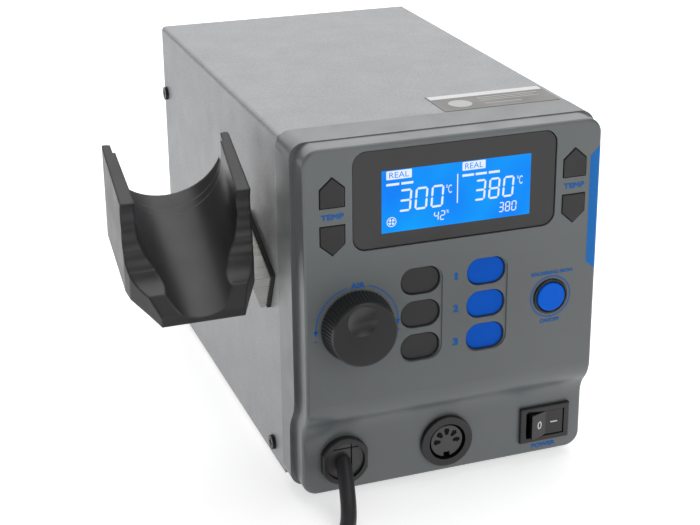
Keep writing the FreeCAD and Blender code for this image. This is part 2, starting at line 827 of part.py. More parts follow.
def socket_insert():
    """The insulating core with its contact holes, its key and the disc that holds it."""
    core = rod(0, recess_y(-0.9), "lower_row_z", "socket_bore", 12.0, ALONG_Y)
    disc = rod(0, recess_y(8.0), "lower_row_z", 7.45, 5.0, ALONG_Y)
    holes = [rod(x, recess_y(-3), f"lower_row_z + {z:.4f}", 1.05, 9.0, ALONG_Y)
             for x, z in contact_places()]
    key = centred_box(0, recess_y(-3), "lower_row_z - 5.9", 2.6, 9.0, 2.4)
    return cut(fuse(core, disc), key, *holes)


def socket_contacts():
    """Sleeves in the contact holes, with tails behind."""
    sleeves = []
    for x, z in contact_places():
        height = f"lower_row_z + {z:.4f}"
        sleeve = rod(x, recess_y(0.2), height, 1.0, 5.8, ALONG_Y)
        bore = rod(x, recess_y(-1), height, 0.6, 5.5, ALONG_Y)
        sleeves.append(cut(sleeve, bore))
    return group(*sleeves)


def switch_housing():
    """The power switch's frame and box, open in front for the rocker."""
    rim = centred_box("switch_x", recess_y("-switch_rim"), "lower_row_z", "switch_width",
                      "switch_rim", "switch_height")
    rim = front_rounded(rim, 0.5)
    case = centred_box("switch_x", recess_y(-0.5), "lower_row_z", 18.8, 13.5, 12.8)
    well = centred_box("switch_x", recess_y(-5), "lower_row_z", "rocker_length + 1.0", 14.0,
                       "rocker_width + 0.6")
    return cut(fuse(rim, case), well, rocker_pivot(1.1, 0.1))


def rocker_pivot(radius, end_gap):
    """The rocker's stub axle, which reaches into both side walls of the housing."""
    reach = dim("rocker_width") / 2 + 0.3 + 0.7 + end_gap
    return rod("switch_x", rocker_pivot_y(), dim("lower_row_z") - reach, radius, 2 * reach)


def rocker_pivot_y():
    return dim("recess_depth") - dim("bezel_depth") - dim("switch_rim") + 2.6


def power_rocker():
    """The rocker, at rest with its right half pressed in."""
    tilt = math.radians(dim("rocker_tilt") / 2)
    half, deep = dim("rocker_length") / 2 - 0.25, 2.2
    end = deep + half * math.tan(tilt)
    neutral = [(-half, -end), (0, -deep), (half, -end), (half * 0.86, 0.4), (half * 0.4, 3.4),
               (-half * 0.4, 3.4), (-half * 0.86, 0.4)]
    turned = [(dim("switch_x") + x * math.cos(tilt) - y * math.sin(tilt),
               rocker_pivot_y() + x * math.sin(tilt) + y * math.cos(tilt)) for x, y in neutral]
    part = body("rocker_body")
    sketch = sketch_on(part, "XY_Plane", "rocker_outline", "lower_row_z - rocker_width / 2")
    polygon(sketch, turned)
    pad(part, sketch, "rocker_width")
    return fuse(part, rocker_pivot(1.0, 0.0))


# ---------------------------------------------------------------- inside the case

def main_board():
    plate = box(-52, 24, 12, 60, 118, 1.6)
    holes = [rod(x, y, 5, 1.7, 20) for x, y in standoff_places()]
    return cut(plate, *holes)


def standoff_places():
    return [(-48, 28), (4, 28), (-48, 138), (4, 138)]


def heatsink():
    """A finned aluminium sink standing on the main board."""
    base = box(-40, 96, 13.6, 34, 3, 34)
    fins = [box(-40 + 4.4 * k, 99, 13.6, 1.4, 12, 34) for k in range(8)]
    return fuse(base, *fins)


def power_triacs():
    """Two power devices bolted flat against the sink."""
    devices = []
    for x in (-35, -21):
        package = box(x, 91.4, 22, 10, 4.6, 15)
        legs = [box(x + 1.6 + 2.9 * k, 93.4, 13.6, 1.0, 0.8, 9) for k in range(3)]
        devices.append(fuse(package, *legs))
    return group(*devices)


def capacitors():
    return group(*[rod(x, y, 13.6, radius, height)
                   for x, y, radius, height in ((-40, 44, 8, 26), (-22, 44, 6.5, 22),
                                                (-8, 60, 5, 16), (-8, 74, 5, 16))])


def transformer_core():
    """A stack of laminations with two winding windows."""
    stack = box(14, 74, "foot_height + tray_gauge + 0.8", 40, 52, 46)
    windows = [box(12, y, 16, 44, 9.5, 24) for y in (83.0, 107.5)]
    return cut(stack, *windows)


def transformer_winding():
    """The bobbin and its coils around the core's middle leg."""
    outer = box(8.5, 83.4, 16.4, 47.5, 33.2, 23.2)
    leg = box(13.8, 92.4, 10, 40.4, 15.2, 40)
    return cut(outer, leg)


# ---------------------------------------------------------------- cradle

def cradle_line(y):
    """The height of the wall tops at a depth."""
    rise = (dim("cradle_tip_z") - dim("cradle_wall_z")) / dim("cradle_rear_y")
    return dim("cradle_wall_z") + rise * y


def cradle_profile(sketch):
    """Seen from the side: sloping wall tops, a scalloped front, a stepped nose, a flat belly."""
    rear, nose = dim("cradle_rear_y"), dim("cradle_nose_y")
    belly = 31.4
    top, tip = dim("cradle_wall_z"), dim("cradle_tip_z")
    scallops = [(0.0, top), (0.2, top - 9.0), (-0.9, top - 17.5), (-4.2, top - 24.5),
                (-12.6, top - 30.2)]
    nose_points = [(nose, top - 36.6), (nose, cradle_line(nose) - belly)]
    rear_points = [(rear + 6.0, cradle_line(rear + 6.0) - belly - 2.0), (rear, tip - 1.2),
                   (rear - 1.6, tip - 0.4)]
    for (y0, z0), (y1, z1) in zip(scallops, scallops[1:]):
        chord = Vector(y1 - y0, z1 - z0, 0)
        inward = Vector(-chord.y, chord.x, 0).normalize() * 0.9
        middle = Vector((y0 + y1) / 2, (z0 + z1) / 2, 0) + inward
        arc = Part.Arc(Vector(y0, z0, 0), middle, Vector(y1, z1, 0))
        sketch.addGeometry(arc, False)
    chain = [scallops[-1], *nose_points, *rear_points, scallops[0]]
    for (y0, z0), (y1, z1) in zip(chain, chain[1:]):
        sketch.addGeometry(Part.LineSegment(Vector(y0, z0, 0), Vector(y1, z1, 0)), False)


def cradle_plan(sketch, side):
    """The corner that the nose's taper takes off one side, seen from above."""
    x, half = dim("cradle_x"), dim("cradle_width") / 2
    nose, narrow = dim("cradle_nose_y"), dim("cradle_nose_width") / 2
    points = [(x + side * half, -0.6), (x + side * (half + 6), -0.6), (x + side * (half + 6), nose - 5),
              (x + side * narrow, nose - 5), (x + side * narrow, nose),
              (x + side * (half - 5.4), -12.5), (x + side * (half - 0.9), -4.5)]
    polygon(sketch, points)


def cradle_back_corner(sketch, side):
    """What rounds the arm's outer corner at the back, seen from above."""
    x, half, rear = dim("cradle_x"), dim("cradle_width") / 2, dim("cradle_rear_y")
    radius = dim("cradle_back_radius")
    points = []
    for step in range(7):
        angle = math.radians(15 * step)
        points.append((x + side * (half - radius + radius * math.cos(angle)),
                       rear - radius + radius * math.sin(angle)))
    points += [(points[-1][0], rear + 8), (x + side * (half + 8), rear + 8),
               (x + side * (half + 8), points[0][1])]
    polygon(sketch, points)


def trough_outline(sketch, radius, floor_z):
    """A U: a half circle under two upright sides."""
    x, top = dim("cradle_x"), 175.0
    centre = Vector(x, floor_z + radius, 0)
    half = Part.ArcOfCircle(Part.Circle(centre, Vector(0, 0, 1), radius), math.pi, 2 * math.pi)
    corners = [Vector(x + radius, floor_z + radius, 0), Vector(x + radius, top, 0),
               Vector(x - radius, top, 0), Vector(x - radius, floor_z + radius, 0)]
    sketch.addGeometry(half, False)
    for start, end in zip(corners, corners[1:]):
        sketch.addGeometry(Part.LineSegment(start, end), False)


def trough(name, near, far, wider):
    """The tapering U between two depths, wider by a step all round."""
    front_y, rear_y = dim("cradle_nose_y"), dim("cradle_rear_y")
    part = body(name)
    sections = []
    for index, y in enumerate((near, far)):
        share = (y - front_y) / (rear_y - front_y)
        radius = dim("trough_front_radius") + share * (
            dim("trough_rear_radius") - dim("trough_front_radius"))
        floor_z = dim("trough_front_z") + share * (dim("trough_rear_z") - dim("trough_front_z"))
        sketch = sketch_on(part, "XZ_Plane", f"{name}_section_{index}", -y)
        trough_outline(sketch, radius + wider, floor_z - wider)
        sections.append(sketch)
    loft = part.newObject("PartDesign::AdditiveLoft", f"{name}_loft")
    loft.Profile = sections[0]
    loft.Sections = sections[1:]
    return part


def cradle():
    """The handpiece's rest: a tapering trough between two raised arms."""
    part = body("cradle_block")
    side = sketch_on(part, "YZ_Plane", "cradle_side", "cradle_x")
    cradle_profile(side)
    pad(part, side, "cradle_width", midplane=True)
    for sign, name in ((-1, "left"), (1, "right")):
        corner = sketch_on(part, "XY_Plane", f"cradle_{name}_taper", 40)
        cradle_plan(corner, sign)
        pocket(part, corner, 120, reverse=True)
        back = sketch_on(part, "XY_Plane", f"cradle_{name}_back", 40)
        cradle_back_corner(back, sign)
        pocket(part, back, 120, reverse=True)
    rear = dim("cradle_rear_y")
    main = trough("trough_main", -60, 60, 0)
    inner_step = trough("trough_step", rear - 5.6, 70, 0.9)
    outer_step = trough("trough_lip", rear - 1.8, 70, 1.8)
    seat = rod("cradle_x", 6.0, 60, 4.15, 40)
    seat_cut = common(seat, centred_box("cradle_x", -20, 82.5, 20, 60, 21.4))
    return cut(part, main, inner_step, outer_step, seat_cut)


def cradle_magnet():
    """The magnet under the trough that tells the handpiece it is parked."""
    return rod("cradle_x", 6.0, 88.8, 4.0, 3.0)


def bracket_plane(offset, x, dx, u, du, gauge):
    """A block in the bracket's tilted frame: u runs back along the slope."""
    block = doc.addObject("Part::Box", helper_name("bracket"))
    block.Length, block.Width, block.Height = dx, du, gauge
    tilt = Rotation(Vector(1, 0, 0), BRACKET_TILT)
    slope, normal = tilt.multVec(Vector(0, 1, 0)), tilt.multVec(Vector(0, 0, 1))
    low = Vector(x, BRACKET_START[0], BRACKET_START[1]) + slope * u + normal * offset
    block.Placement = Placement(low, tilt)
    return block


BRACKET_TILT = 25.2
BRACKET_START = (7.0, 83.2)


def bracket_span():
    """X of the case side, the pad's face and the cradle's wall."""
    side = -dim("case_width") / 2
    pad_face = side - dim("bracket_pad")
    wall = dim("cradle_x") + dim("cradle_width") / 2
    return side, pad_face, wall


def cradle_bracket():
    """A bent plate: a flange on the case, a sloping shelf, a wing up the cradle, a tapered lip."""
    side, pad_face, wall = bracket_span()
    gauge = dim("bracket_gauge")
    shelf = bracket_plane(-gauge, wall + 0.05, pad_face - wall - 0.05, 0, 34, gauge)
    flange = bracket_plane(-15, pad_face - gauge, gauge, 0, 34, 15)
    wing = bracket_plane(-gauge, wall + 0.05, gauge, 3.2, 30.8, 17)
    lip = bracket_lip(pad_face, wall + 0.05, gauge)
    holes = [rod("-case_width", y, z, 1.6, "case_width", ALONG_X) for y, z in BRACKET_SCREWS]
    holes += [rod("-case_width", y, z, 1.6, "case_width", ALONG_X) for y, z in CRADLE_SCREWS]
    return cut(fuse(shelf, flange, wing, lip), *holes)


def bracket_lip(right, left, gauge):
    """The three-cornered lip that turns down from the shelf's front edge."""
    tilt = Rotation(Vector(1, 0, 0), BRACKET_TILT)
    slope, normal = tilt.multVec(Vector(0, 1, 0)), tilt.multVec(Vector(0, 0, 1))
    start = Vector(0, BRACKET_START[0], BRACKET_START[1])
    corners = [Vector(left, 0, 0) + start, Vector(right, 0, 0) + start,
               Vector(right - 0.6, 0, 0) + start - normal * 16.5,
               Vector(right - 2.2, 0, 0) + start - normal * 16.5]
    wire = Part.makePolygon(corners + corners[:1])
    lip = doc.addObject("Part::Feature", "bracket_lip")
    lip.Shape = Part.Face(wire).extrude(slope * gauge)
    return lip


CRADLE_SCREWS = [(16.0, 98.5), (29.0, 104.5)]


def bracket_pad():
    """The black rubber strip between the bracket and the painted case."""
    side, pad_face, wall = bracket_span()
    strip = bracket_plane(-16.2, pad_face, side - pad_face, -0.6, 35.4, 17.4)
    holes = [rod("-case_width", y, z, 1.6, "case_width", ALONG_X) for y, z in BRACKET_SCREWS]
    return cut(strip, *holes)


def bracket_screws():
    """Screws through the bracket's flange and pad into the case, and two into the cradle."""
    side, pad_face, wall = bracket_span()
    screws = []
    for y, z in BRACKET_SCREWS:
        head = rod(pad_face - dim("bracket_gauge") - 1.8, y, z, 2.6, 1.8, ALONG_X)
        shank = rod(pad_face - dim("bracket_gauge") - 1.0, y, z, 1.5, 9.0, ALONG_X)
        screws.append(fuse(head, shank))
    for y, z in CRADLE_SCREWS:
        head = rod(wall + 0.05 + dim("bracket_gauge"), y, z, 2.6, 1.8, ALONG_X)
        shank = rod(wall - 2.6, y, z, 1.5, 5.0, ALONG_X)
        screws.append(fuse(head, shank))
    return group(*screws)


def cradle_with_pilots(block):
    """The cradle with pilot holes for the bracket's screws in its right arm."""
    side, pad_face, wall = bracket_span()
    pilots = [rod(wall - 2.8, y, z, 1.5, 5.0, ALONG_X) for y, z in CRADLE_SCREWS]
    return cut(block, *pilots)


# ---------------------------------------------------------------- lead

LEAD_ROUTE = [(-42.8, -20.9, 17.0), (-43.4, -25.2, 14.5), (-44.6, -30.6, 10.4), (-46.4, -37.6, 5.9),
              (-50.0, -46.6, 3.4), (-57.4, -55.2, 3.0), (-67.6, -60.8, 3.1), (-79.0, -63.0, 3.0)]

TAIL_ROUTE = [(-122.0, -103.0, 9.0), (-122.7, -112.5, 6.6), (-122.2, -122.5, 4.6),
              (-119.6, -132.8, 4.8), (-114.8, -142.9, 7.8), (-107.4, -151.0, 12.1),
              (-98.0, -155.6, 16.2), (-88.0, -156.9, 18.5)]


def tube(name, route, diameter):
    """Straight runs joined by tangent arcs as large as the runs allow."""
    points = [Vector(*point) for point in route]
    edges, start, radii = [], points[0], []
    for before, corner, after in zip(points, points[1:], points[2:]):
        back, ahead = (before - corner), (after - corner)
        turn = math.pi - back.getAngle(ahead)
        reach = 0.45 * min(back.Length, ahead.Length)
        radii.append(reach / math.tan(turn / 2))
        first = corner + back.normalize() * reach
        last = corner + ahead.normalize() * reach
        bisector = (back + ahead).normalize()
        centre = corner + bisector * (radii[-1] / math.cos(turn / 2))
        middle = centre - bisector * radii[-1]
        edges += [Part.LineSegment(start, first).toShape(), Part.Arc(first, middle, last).toShape()]
        start = last
    edges.append(Part.LineSegment(start, points[-1]).toShape())
    path = Part.Wire(edges)
    ring = Part.Circle(points[0], points[1] - points[0], diameter / 2).toShape()
    solid = path.makePipeShell([Part.Wire([ring])], True, True)
    expected = path.Length * math.pi * diameter ** 2 / 4
    print(f"{name}: {path.Length:.1f} mm, volume {solid.Volume / expected:.4f} of its section,"
          f" radii {[round(radius, 1) for radius in radii]}")
    feature = doc.addObject("Part::Feature", name)
    feature.Shape = solid
    return feature


def lead_coil():
    """The wound-up part of the lead, as the ring that its turns fill."""
    ring = rod("coil_x", "coil_y", 0, "coil_outer", "coil_height")
    hole = rod("coil_x", "coil_y", -1, "coil_inner", "coil_height + 2")
    return cut(ring, hole)


def coil_tie():
    """A hook-and-loop strap around the coil's turns."""
    middle = "coil_x + (coil_inner + coil_outer) / 2"
    outer = box("coil_x + coil_inner - 1.4", "coil_y - 5", 0,
                "coil_outer - coil_inner + 2.8", 10, "coil_height + 1.4")
    inner = box("coil_x + coil_inner", "coil_y - 8", -1, "coil_outer - coil_inner", 16,
                "coil_height + 1")
    return cut(outer, inner)


# ---------------------------------------------------------------- handpiece

def laid(obj):
    """Lay a handpiece piece, made along +X from its tail, on the table."""
    obj.Placement = Placement(Vector(0, 0, 0), Rotation(Vector(0, 0, 1), dim("tool_turn")))
    obj.setExpression("Placement.Base.x", "Params.tool_x")
    obj.setExpression("Placement.Base.y", "Params.tool_y")
    obj.setExpression("Placement.Base.z", "Params.fan_radius")
    return obj


def tool_rod(x, y, z, radius, length, rotation=ALONG_X):
    cylinder = doc.addObject("Part::Cylinder", helper_name("tool_rod"))
    cylinder.setExpression("Radius", linked(radius))
    cylinder.setExpression("Height", linked(length))
    cylinder.Placement = Placement(Vector(x, y, z), rotation)
    return cylinder


def tool_box(x, y, z, dx, dy, dz):
    block = doc.addObject("Part::Box", helper_name("tool_block"))
    block.Length, block.Width, block.Height = dx, dy, dz
    block.Placement = Placement(Vector(x, y, z), Rotation())
    return block


def handle_outline(inset):
    """Half of the handle's outline, from the fan end to the collar."""
    fan, grip = dim("fan_radius") - inset, dim("grip_radius") - inset
    collar = dim("fan_radius") - 2.0 - inset
    return [(8.0, fan - 0.6), (10.0, fan), (42.0, fan), (50.0, fan - 1.2), (66.0, grip),
            (106.0, grip - 0.6), (122.0, grip + 0.8), (126.0, collar), (134.0, collar)]


def handle_shell(name):
    """A hollow turned handle, before it is split."""
    wall = 2.2
    outer, inner = handle_outline(0), handle_outline(wall)
    inner[-1] = (134.0, dim("barrel_radius") + 0.6)
    return revolved(name, outer + inner[::-1])


def handle_half(name, upper):
    shell = handle_shell(f"{name}_turned")
    low = 0.05 if upper else -60.05
    return common(shell, tool_box(-10, -60, low, 200, 120, 60))



def tail_cap():
    """The fan's end cap with its round intake slots and the lead's hole."""
    radius = dim("fan_radius") - 0.8
    cap = revolved("tail_cap_turned", [(0, 0), (0, radius - 4), (3.5, radius), (7.9, radius),
                                       (7.9, radius - 2.4), (4.5, radius - 2.4), (2.2, radius - 5),
                                       (2.2, 0)])
    slots = []
    for ring, count in ((7.2, 8), (11.4, 12)):
        for k in range(count):
            angle = 2 * math.pi * k / count
            slots.append(tool_rod(-5, ring * math.cos(angle), ring * math.sin(angle), 1.25, 12))
    return cut(cap, *slots)


def fan_frame():
    """The blower's ring and the spider that carries its motor."""
    radius = dim("fan_radius") - 2.4
    ring = revolved("fan_ring", [(14, radius - 1.4), (14, radius), (38, radius), (38, radius - 1.4)])
    arms = [tool_box(34, -1.5, -radius + 0.4, 3, 3, 2 * radius - 0.8),
            tool_box(34, -radius + 0.4, -1.5, 3, 2 * radius - 0.8, 3)]
    motor = tool_rod(26.5, 0, 0, 6.0, 10.5)
    bore = tool_rod(20, 0, 0, 1.06, 12)
    return cut(fuse(ring, motor, *arms), bore)


def fan_impeller():
    """Nine blades round a hub on the motor's shaft."""
    hub = tool_rod(17.5, 0, 0, 5.0, 8.4)
    shaft = tool_rod(17.5, 0, 0, 1.0, 13.0)
    blades = []
    for k in range(9):
        blade = tool_box(17.5, 4.0, -0.5, 8.4, 9.6, 1.0)
        lean = Rotation(Vector(0, 1, 0), 28)
        spin = Rotation(Vector(1, 0, 0), 40 * k).multiply(lean)
        blade.Placement = Placement(Vector(21.7, 0, 0) - spin.multVec(Vector(4.2, -4.0, 0.5)), spin)
        blades.append(blade)
    envelope = tool_rod(17.5, 0, 0, 14.0, 8.4)
    return common(fuse(hub, shaft, *blades), fuse(envelope, tool_rod(17.0, 0, 0, 1.5, 14.0)))



def heater_barrel():
    """The heater's thin steel tube."""
    radius = dim("barrel_radius")
    return revolved("heater_barrel_turned", [(112.0, radius - 0.7), (112.0, radius),
                                             (196.0, radius), (196.0, radius - 0.7)])


def heater_core():
    """The ceramic former with the wire's channels."""
    core = tool_rod(116.0, 0, 0, "barrel_radius - 0.75", 68)
    channels = [tool_rod(110, 5.4 * math.cos(k * math.pi / 4), 5.4 * math.sin(k * math.pi / 4),
                         1.3, 80) for k in range(8)]
    return cut(core, *channels)



def hot_air_nozzle():
    """A clamp-on round nozzle that narrows to its outlet."""
    outer, bore = dim("nozzle_radius"), dim("nozzle_bore")
    seat = dim("barrel_radius") + 0.05
    turned = revolved("nozzle_turned", [(186.0, seat), (186.0, outer + 0.2), (198.0, outer + 0.2),
                                        (204.5, bore + 1.0), (210.0, bore + 1.0), (210.0, bore),
                                        (204.0, bore), (197.5, seat)])
    ears = [tool_box(187.5, y, outer - 1.2, 8, 1.6, 6.4) for y in (-2.4, 0.8)]
    gap = tool_box(184, -0.8, outer - 3, 13, 1.6, 20)
    hole = tool_rod(191.5, -10, outer + 2.8, 1.25, 20, ALONG_Y)
    return cut(fuse(turned, *[cut(ear, tool_rod(180, 0, 0, "barrel_radius + 0.05", 40))
                              for ear in ears]), gap, hole)



def handpiece_relief():
    """The tapered rubber boot where the lead enters the handpiece."""
    return revolved("relief_turned", [(-22.0, 0), (-22.0, 3.9), (-18, 4.2), (-2.0, 6.0), (-0.05, 6.4),
                                      (-0.05, 0)])


# ---------------------------------------------------------------- labels

def top_label():
    """The blank foil label on the cover's top, near the bezel's right corner."""
    return box(8, 4.5, "foot_height + case_height", 48, 20.5, 0.15)


# ---------------------------------------------------------------- the whole station

node("case_cover", case_cover())
node("base_tray", base_tray())
node("rear_panel", rear_panel())
node("rubber_feet", rubber_feet())
node("cover_screws", cover_screws())
node("chassis_screws", chassis_screws())
node("mains_inlet", mains_inlet())
node("top_label", top_label())

node("front_bezel", front_bezel())
node("display_window", display_window())
node("lcd_frame", lcd_frame())
node("lcd_glass", lcd_glass())
node("control_board", control_board())
node("key_switches", key_switches())
for name, x, z in preset_places():
    node(name, moving_key(name, preset_outline, (x, z), (x, z), "preset_proud", 0.35))
for name, base, side, apex, x in temp_key_places():
    node(name, moving_key(name, temp_outline, (x, base, side, apex), (x, base + side / 2),
                           "key_proud", 0.3))
button = (dim("iron_button_x"), dim("iron_button_z"))
node("iron_button", moving_key("iron_button", round_cap, button, button, "button_proud", 0.6))
node("iron_button_ring", iron_button_ring())
node("air_knob", air_knob())
node("encoder_shaft", encoder_shaft())
node("encoder_body", encoder_body())

node("lead_gland", lead_gland())
node("gland_clamp", gland_clamp())
node("socket_shell", socket_shell())
node("socket_insert", socket_insert())
node("socket_contacts", socket_contacts())
node("switch_housing", switch_housing())
node("power_rocker", power_rocker())

node("main_board", main_board())
node("heatsink", heatsink())
node("power_triacs", power_triacs())
node("capacitors", capacitors())
node("transformer_core", transformer_core())
node("transformer_winding", transformer_winding())

node("cradle", cradle_with_pilots(cradle()))
node("cradle_magnet", cradle_magnet())
node("cradle_bracket", cradle_bracket())
node("bracket_pad", bracket_pad())
node("bracket_screws", bracket_screws())

node("lead_front", tube("lead_front_path", LEAD_ROUTE, dim("lead_diameter")))
node("lead_coil", lead_coil())
node("coil_tie", coil_tie())
node("lead_tail", tube("lead_tail_path", TAIL_ROUTE, dim("lead_diameter")))

handpiece = {
    "handle_upper": handle_half("handle_upper", True),
    "handle_lower": handle_half("handle_lower", False),
    "tail_cap": tail_cap(),
    "fan_frame": fan_frame(),
    "fan_impeller": fan_impeller(),
    "heater_barrel": heater_barrel(),
    "heater_core": heater_core(),
    "hot_air_nozzle": hot_air_nozzle(),
    "handpiece_relief": handpiece_relief(),
}
for label, obj in handpiece.items():
    node(label, laid(obj))

doc.recompute()

problems = [obj.Name for obj in doc.Objects if {"Invalid", "Error"} & set(obj.State)]
problems += [label for label, obj in nodes.items() if obj.Shape.isNull() or not obj.Shape.isValid()]
if problems:
    raise RuntimeError(f"these failed: {problems}")

os.makedirs("parts", exist_ok=True)
for label, obj in nodes.items():
    obj.Shape.exportStep(f"parts/{label}.step")
print(f"{len(nodes)} nodes")
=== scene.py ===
"""The looks of a bench hot air station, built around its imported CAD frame."""

import math

import bmesh
import bpy
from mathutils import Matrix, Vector


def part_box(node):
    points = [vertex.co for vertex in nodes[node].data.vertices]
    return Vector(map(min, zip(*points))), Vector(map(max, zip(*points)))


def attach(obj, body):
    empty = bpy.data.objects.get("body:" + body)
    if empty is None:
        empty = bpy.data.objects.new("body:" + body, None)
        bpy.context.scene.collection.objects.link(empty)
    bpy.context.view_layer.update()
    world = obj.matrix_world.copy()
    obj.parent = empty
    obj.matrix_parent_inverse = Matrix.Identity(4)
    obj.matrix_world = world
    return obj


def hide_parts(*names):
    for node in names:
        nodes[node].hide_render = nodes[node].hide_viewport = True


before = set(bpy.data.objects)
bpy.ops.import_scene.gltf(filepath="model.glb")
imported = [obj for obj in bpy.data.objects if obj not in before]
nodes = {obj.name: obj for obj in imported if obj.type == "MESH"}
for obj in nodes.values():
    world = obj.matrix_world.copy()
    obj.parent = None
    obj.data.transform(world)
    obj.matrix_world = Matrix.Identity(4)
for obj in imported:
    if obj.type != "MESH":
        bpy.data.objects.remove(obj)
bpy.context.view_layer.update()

MM = 0.001
STATION = "station"
ORIGIN = (13.75, -4.35)  # what the CAD takes off every X and Y, in mm


def at(x, y, z):
    """A point given in mm from the bezel flange's middle, on the table, in the row frame."""
    return Vector(((x - ORIGIN[0]) * MM, (y - ORIGIN[1]) * MM, z * MM))


# ------------------------------------------------------------------ camera

SENSOR_MM, LENS_MM = 36, 80.4
LENS_SHIFT = (-0.073, -0.0452)
CAMERA_PLACE = (-213.19, -510.0, 307.5)  # mm, as at() takes them
CAMERA_ANGLES = (69.0486, -0.19, -21.5256)  # degrees


def make_camera():
    data = bpy.data.cameras.new("camera")
    data.sensor_width = SENSOR_MM
    data.lens = LENS_MM
    data.shift_x, data.shift_y = LENS_SHIFT
    data.clip_start = 0.01
    camera = bpy.data.objects.new("camera", data)
    bpy.context.scene.collection.objects.link(camera)
    camera.location = at(*CAMERA_PLACE)
    camera.rotation_euler = [math.radians(angle) for angle in CAMERA_ANGLES]
    bpy.context.scene.camera = camera


make_camera()


# ------------------------------------------------------------------ node materials

def principled(name, colour, roughness, **sockets):
    """A new material with its Principled shader's sockets set."""
    material = bpy.data.materials.new(name)
    material.use_nodes = True
    shader = material.node_tree.nodes["Principled BSDF"]
    shader.inputs["Base Color"].default_value = (*colour, 1)
    shader.inputs["Roughness"].default_value = roughness
    for socket, value in sockets.items():
        shader.inputs[socket.replace("_", " ")].default_value = value
    return material, material.node_tree, shader


def add(tree, kind, **values):
    """A new node, with its input sockets and its own settings set by name."""
    node = tree.nodes.new(kind)
    for name, value in values.items():
        if name in node.inputs:
            node.inputs[name].default_value = value
        else:
            setattr(node, name, value)
    return node


def noise(tree, scale, detail=2.0, roughness=0.5, stretch=None):
    """Noise over the object's own coordinates, in cycles per metre."""
    coordinates = tree.nodes.new("ShaderNodeTexCoord")
    source = coordinates.outputs["Object"]
    if stretch:
        mapping = tree.nodes.new("ShaderNodeMapping")
        mapping.inputs["Scale"].default_value = stretch
        tree.links.new(source, mapping.inputs["Vector"])
        source = mapping.outputs["Vector"]
    texture = add(tree, "ShaderNodeTexNoise", Scale=scale, Detail=detail, Roughness=roughness)
    tree.links.new(source, texture.inputs["Vector"])
    return texture.outputs["Fac"]


def mapped(tree, value, low, high, from_low=0.3, from_high=0.7):
    """A value spread over a new range; noise keeps mostly between 0.3 and 0.7."""
    node = tree.nodes.new("ShaderNodeMapRange")
    node.inputs["From Min"].default_value = from_low
    node.inputs["From Max"].default_value = from_high
    node.inputs["To Min"].default_value = low
    node.inputs["To Max"].default_value = high
    tree.links.new(value, node.inputs["Value"])
    return node.outputs["Result"]


def tinted(tree, factor, first, second):
    """A colour between two, by a factor."""
    mix = tree.nodes.new("ShaderNodeMix")
    mix.data_type = "RGBA"
    mix.inputs["A"].default_value = (*first, 1)
    mix.inputs["B"].default_value = (*second, 1)
    tree.links.new(factor, mix.inputs["Factor"])
    return mix.outputs["Result"]


def varied(tree, socket, value, first, second):
    """Link a socket to a colour that a value moves between two."""
    tree.links.new(tinted(tree, mapped(tree, value, 0, 1), first, second), socket)


def bumped(tree, shader, height, depth_mm, edge_mm=0.0):
    """Bump from a height, on top of softened edges where edge_mm is given."""
    bump = add(tree, "ShaderNodeBump", Strength=1.0, Distance=depth_mm * MM)
    tree.links.new(height, bump.inputs["Height"])
    if edge_mm:
        softened = add(tree, "ShaderNodeBevel", Radius=edge_mm * MM, samples=4)
        tree.links.new(softened.outputs["Normal"], bump.inputs["Normal"])
    tree.links.new(bump.outputs["Normal"], shader.inputs["Normal"])


def grained(name, colour, roughness, grain_mm=0.5, depth_mm=0.02, vary=0.08, edge_mm=0.3,
            speckle=0.0, **sockets):
    """Moulded or painted surface: fine grain, slow changes of tone and of gloss."""
    material, tree, shader = principled(name, colour, roughness, **sockets)
    grain = noise(tree, 1000 / grain_mm, 3, 0.6)
    dark = tuple(c * (1 - vary) for c in colour)
    light = tuple(min(1, c * (1 + vary)) for c in colour)
    tone = tinted(tree, mapped(tree, noise(tree, 28, 3), 0, 1), dark, light)
    if speckle:
        flecks = tree.nodes.new("ShaderNodeMix")
        flecks.data_type = "RGBA"
        flecks.blend_type = "MULTIPLY"
        flecks.inputs["Factor"].default_value = 1.0
        tree.links.new(tone, flecks.inputs["A"])
        cover = tinted(tree, mapped(tree, grain, 0, 1), (1 - speckle,) * 3, (1 + speckle,) * 3)
        tree.links.new(cover, flecks.inputs["B"])
        tone = flecks.outputs["Result"]
    tree.links.new(tone, shader.inputs["Base Color"])
    patchy = noise(tree, 90, 4)
    tree.links.new(mapped(tree, patchy, roughness - 0.04, roughness + 0.05),
                   shader.inputs["Roughness"])
    bumped(tree, shader, grain, depth_mm, edge_mm)
    return material


def brushed(name, colour, roughness, direction=(1, 1, 40), depth_mm=0.0006):
    """Metal with fine scratches, packed closer along an axis the larger its number."""
    material, tree, shader = principled(name, colour, roughness, Metallic=1.0)
    streaks = noise(tree, 60, 4, 0.6, direction)
    tree.links.new(mapped(tree, streaks, roughness - 0.05, roughness + 0.07),
                   shader.inputs["Roughness"])
    light = tuple(min(1, c * 1.03) for c in colour)
    dark = tuple(c * 0.94 for c in colour)
    varied(tree, shader.inputs["Base Color"], streaks, dark, light)
    bumped(tree, shader, noise(tree, 400, 3, 0.6, direction), depth_mm, 0.25)
    return material


def printed(name, colour, roughness=0.45):
    """Screen-printed ink with slightly uneven cover."""
    material, tree, shader = principled(name, colour, roughness, Specular_IOR_Level=0.2)
    dull = tuple(c * 0.86 + 0.01 for c in colour)
    varied(tree, shader.inputs["Base Color"], noise(tree, 2500, 2), colour, dull)
    bumped(tree, shader, noise(tree, 4000, 2), 0.004)
    return material


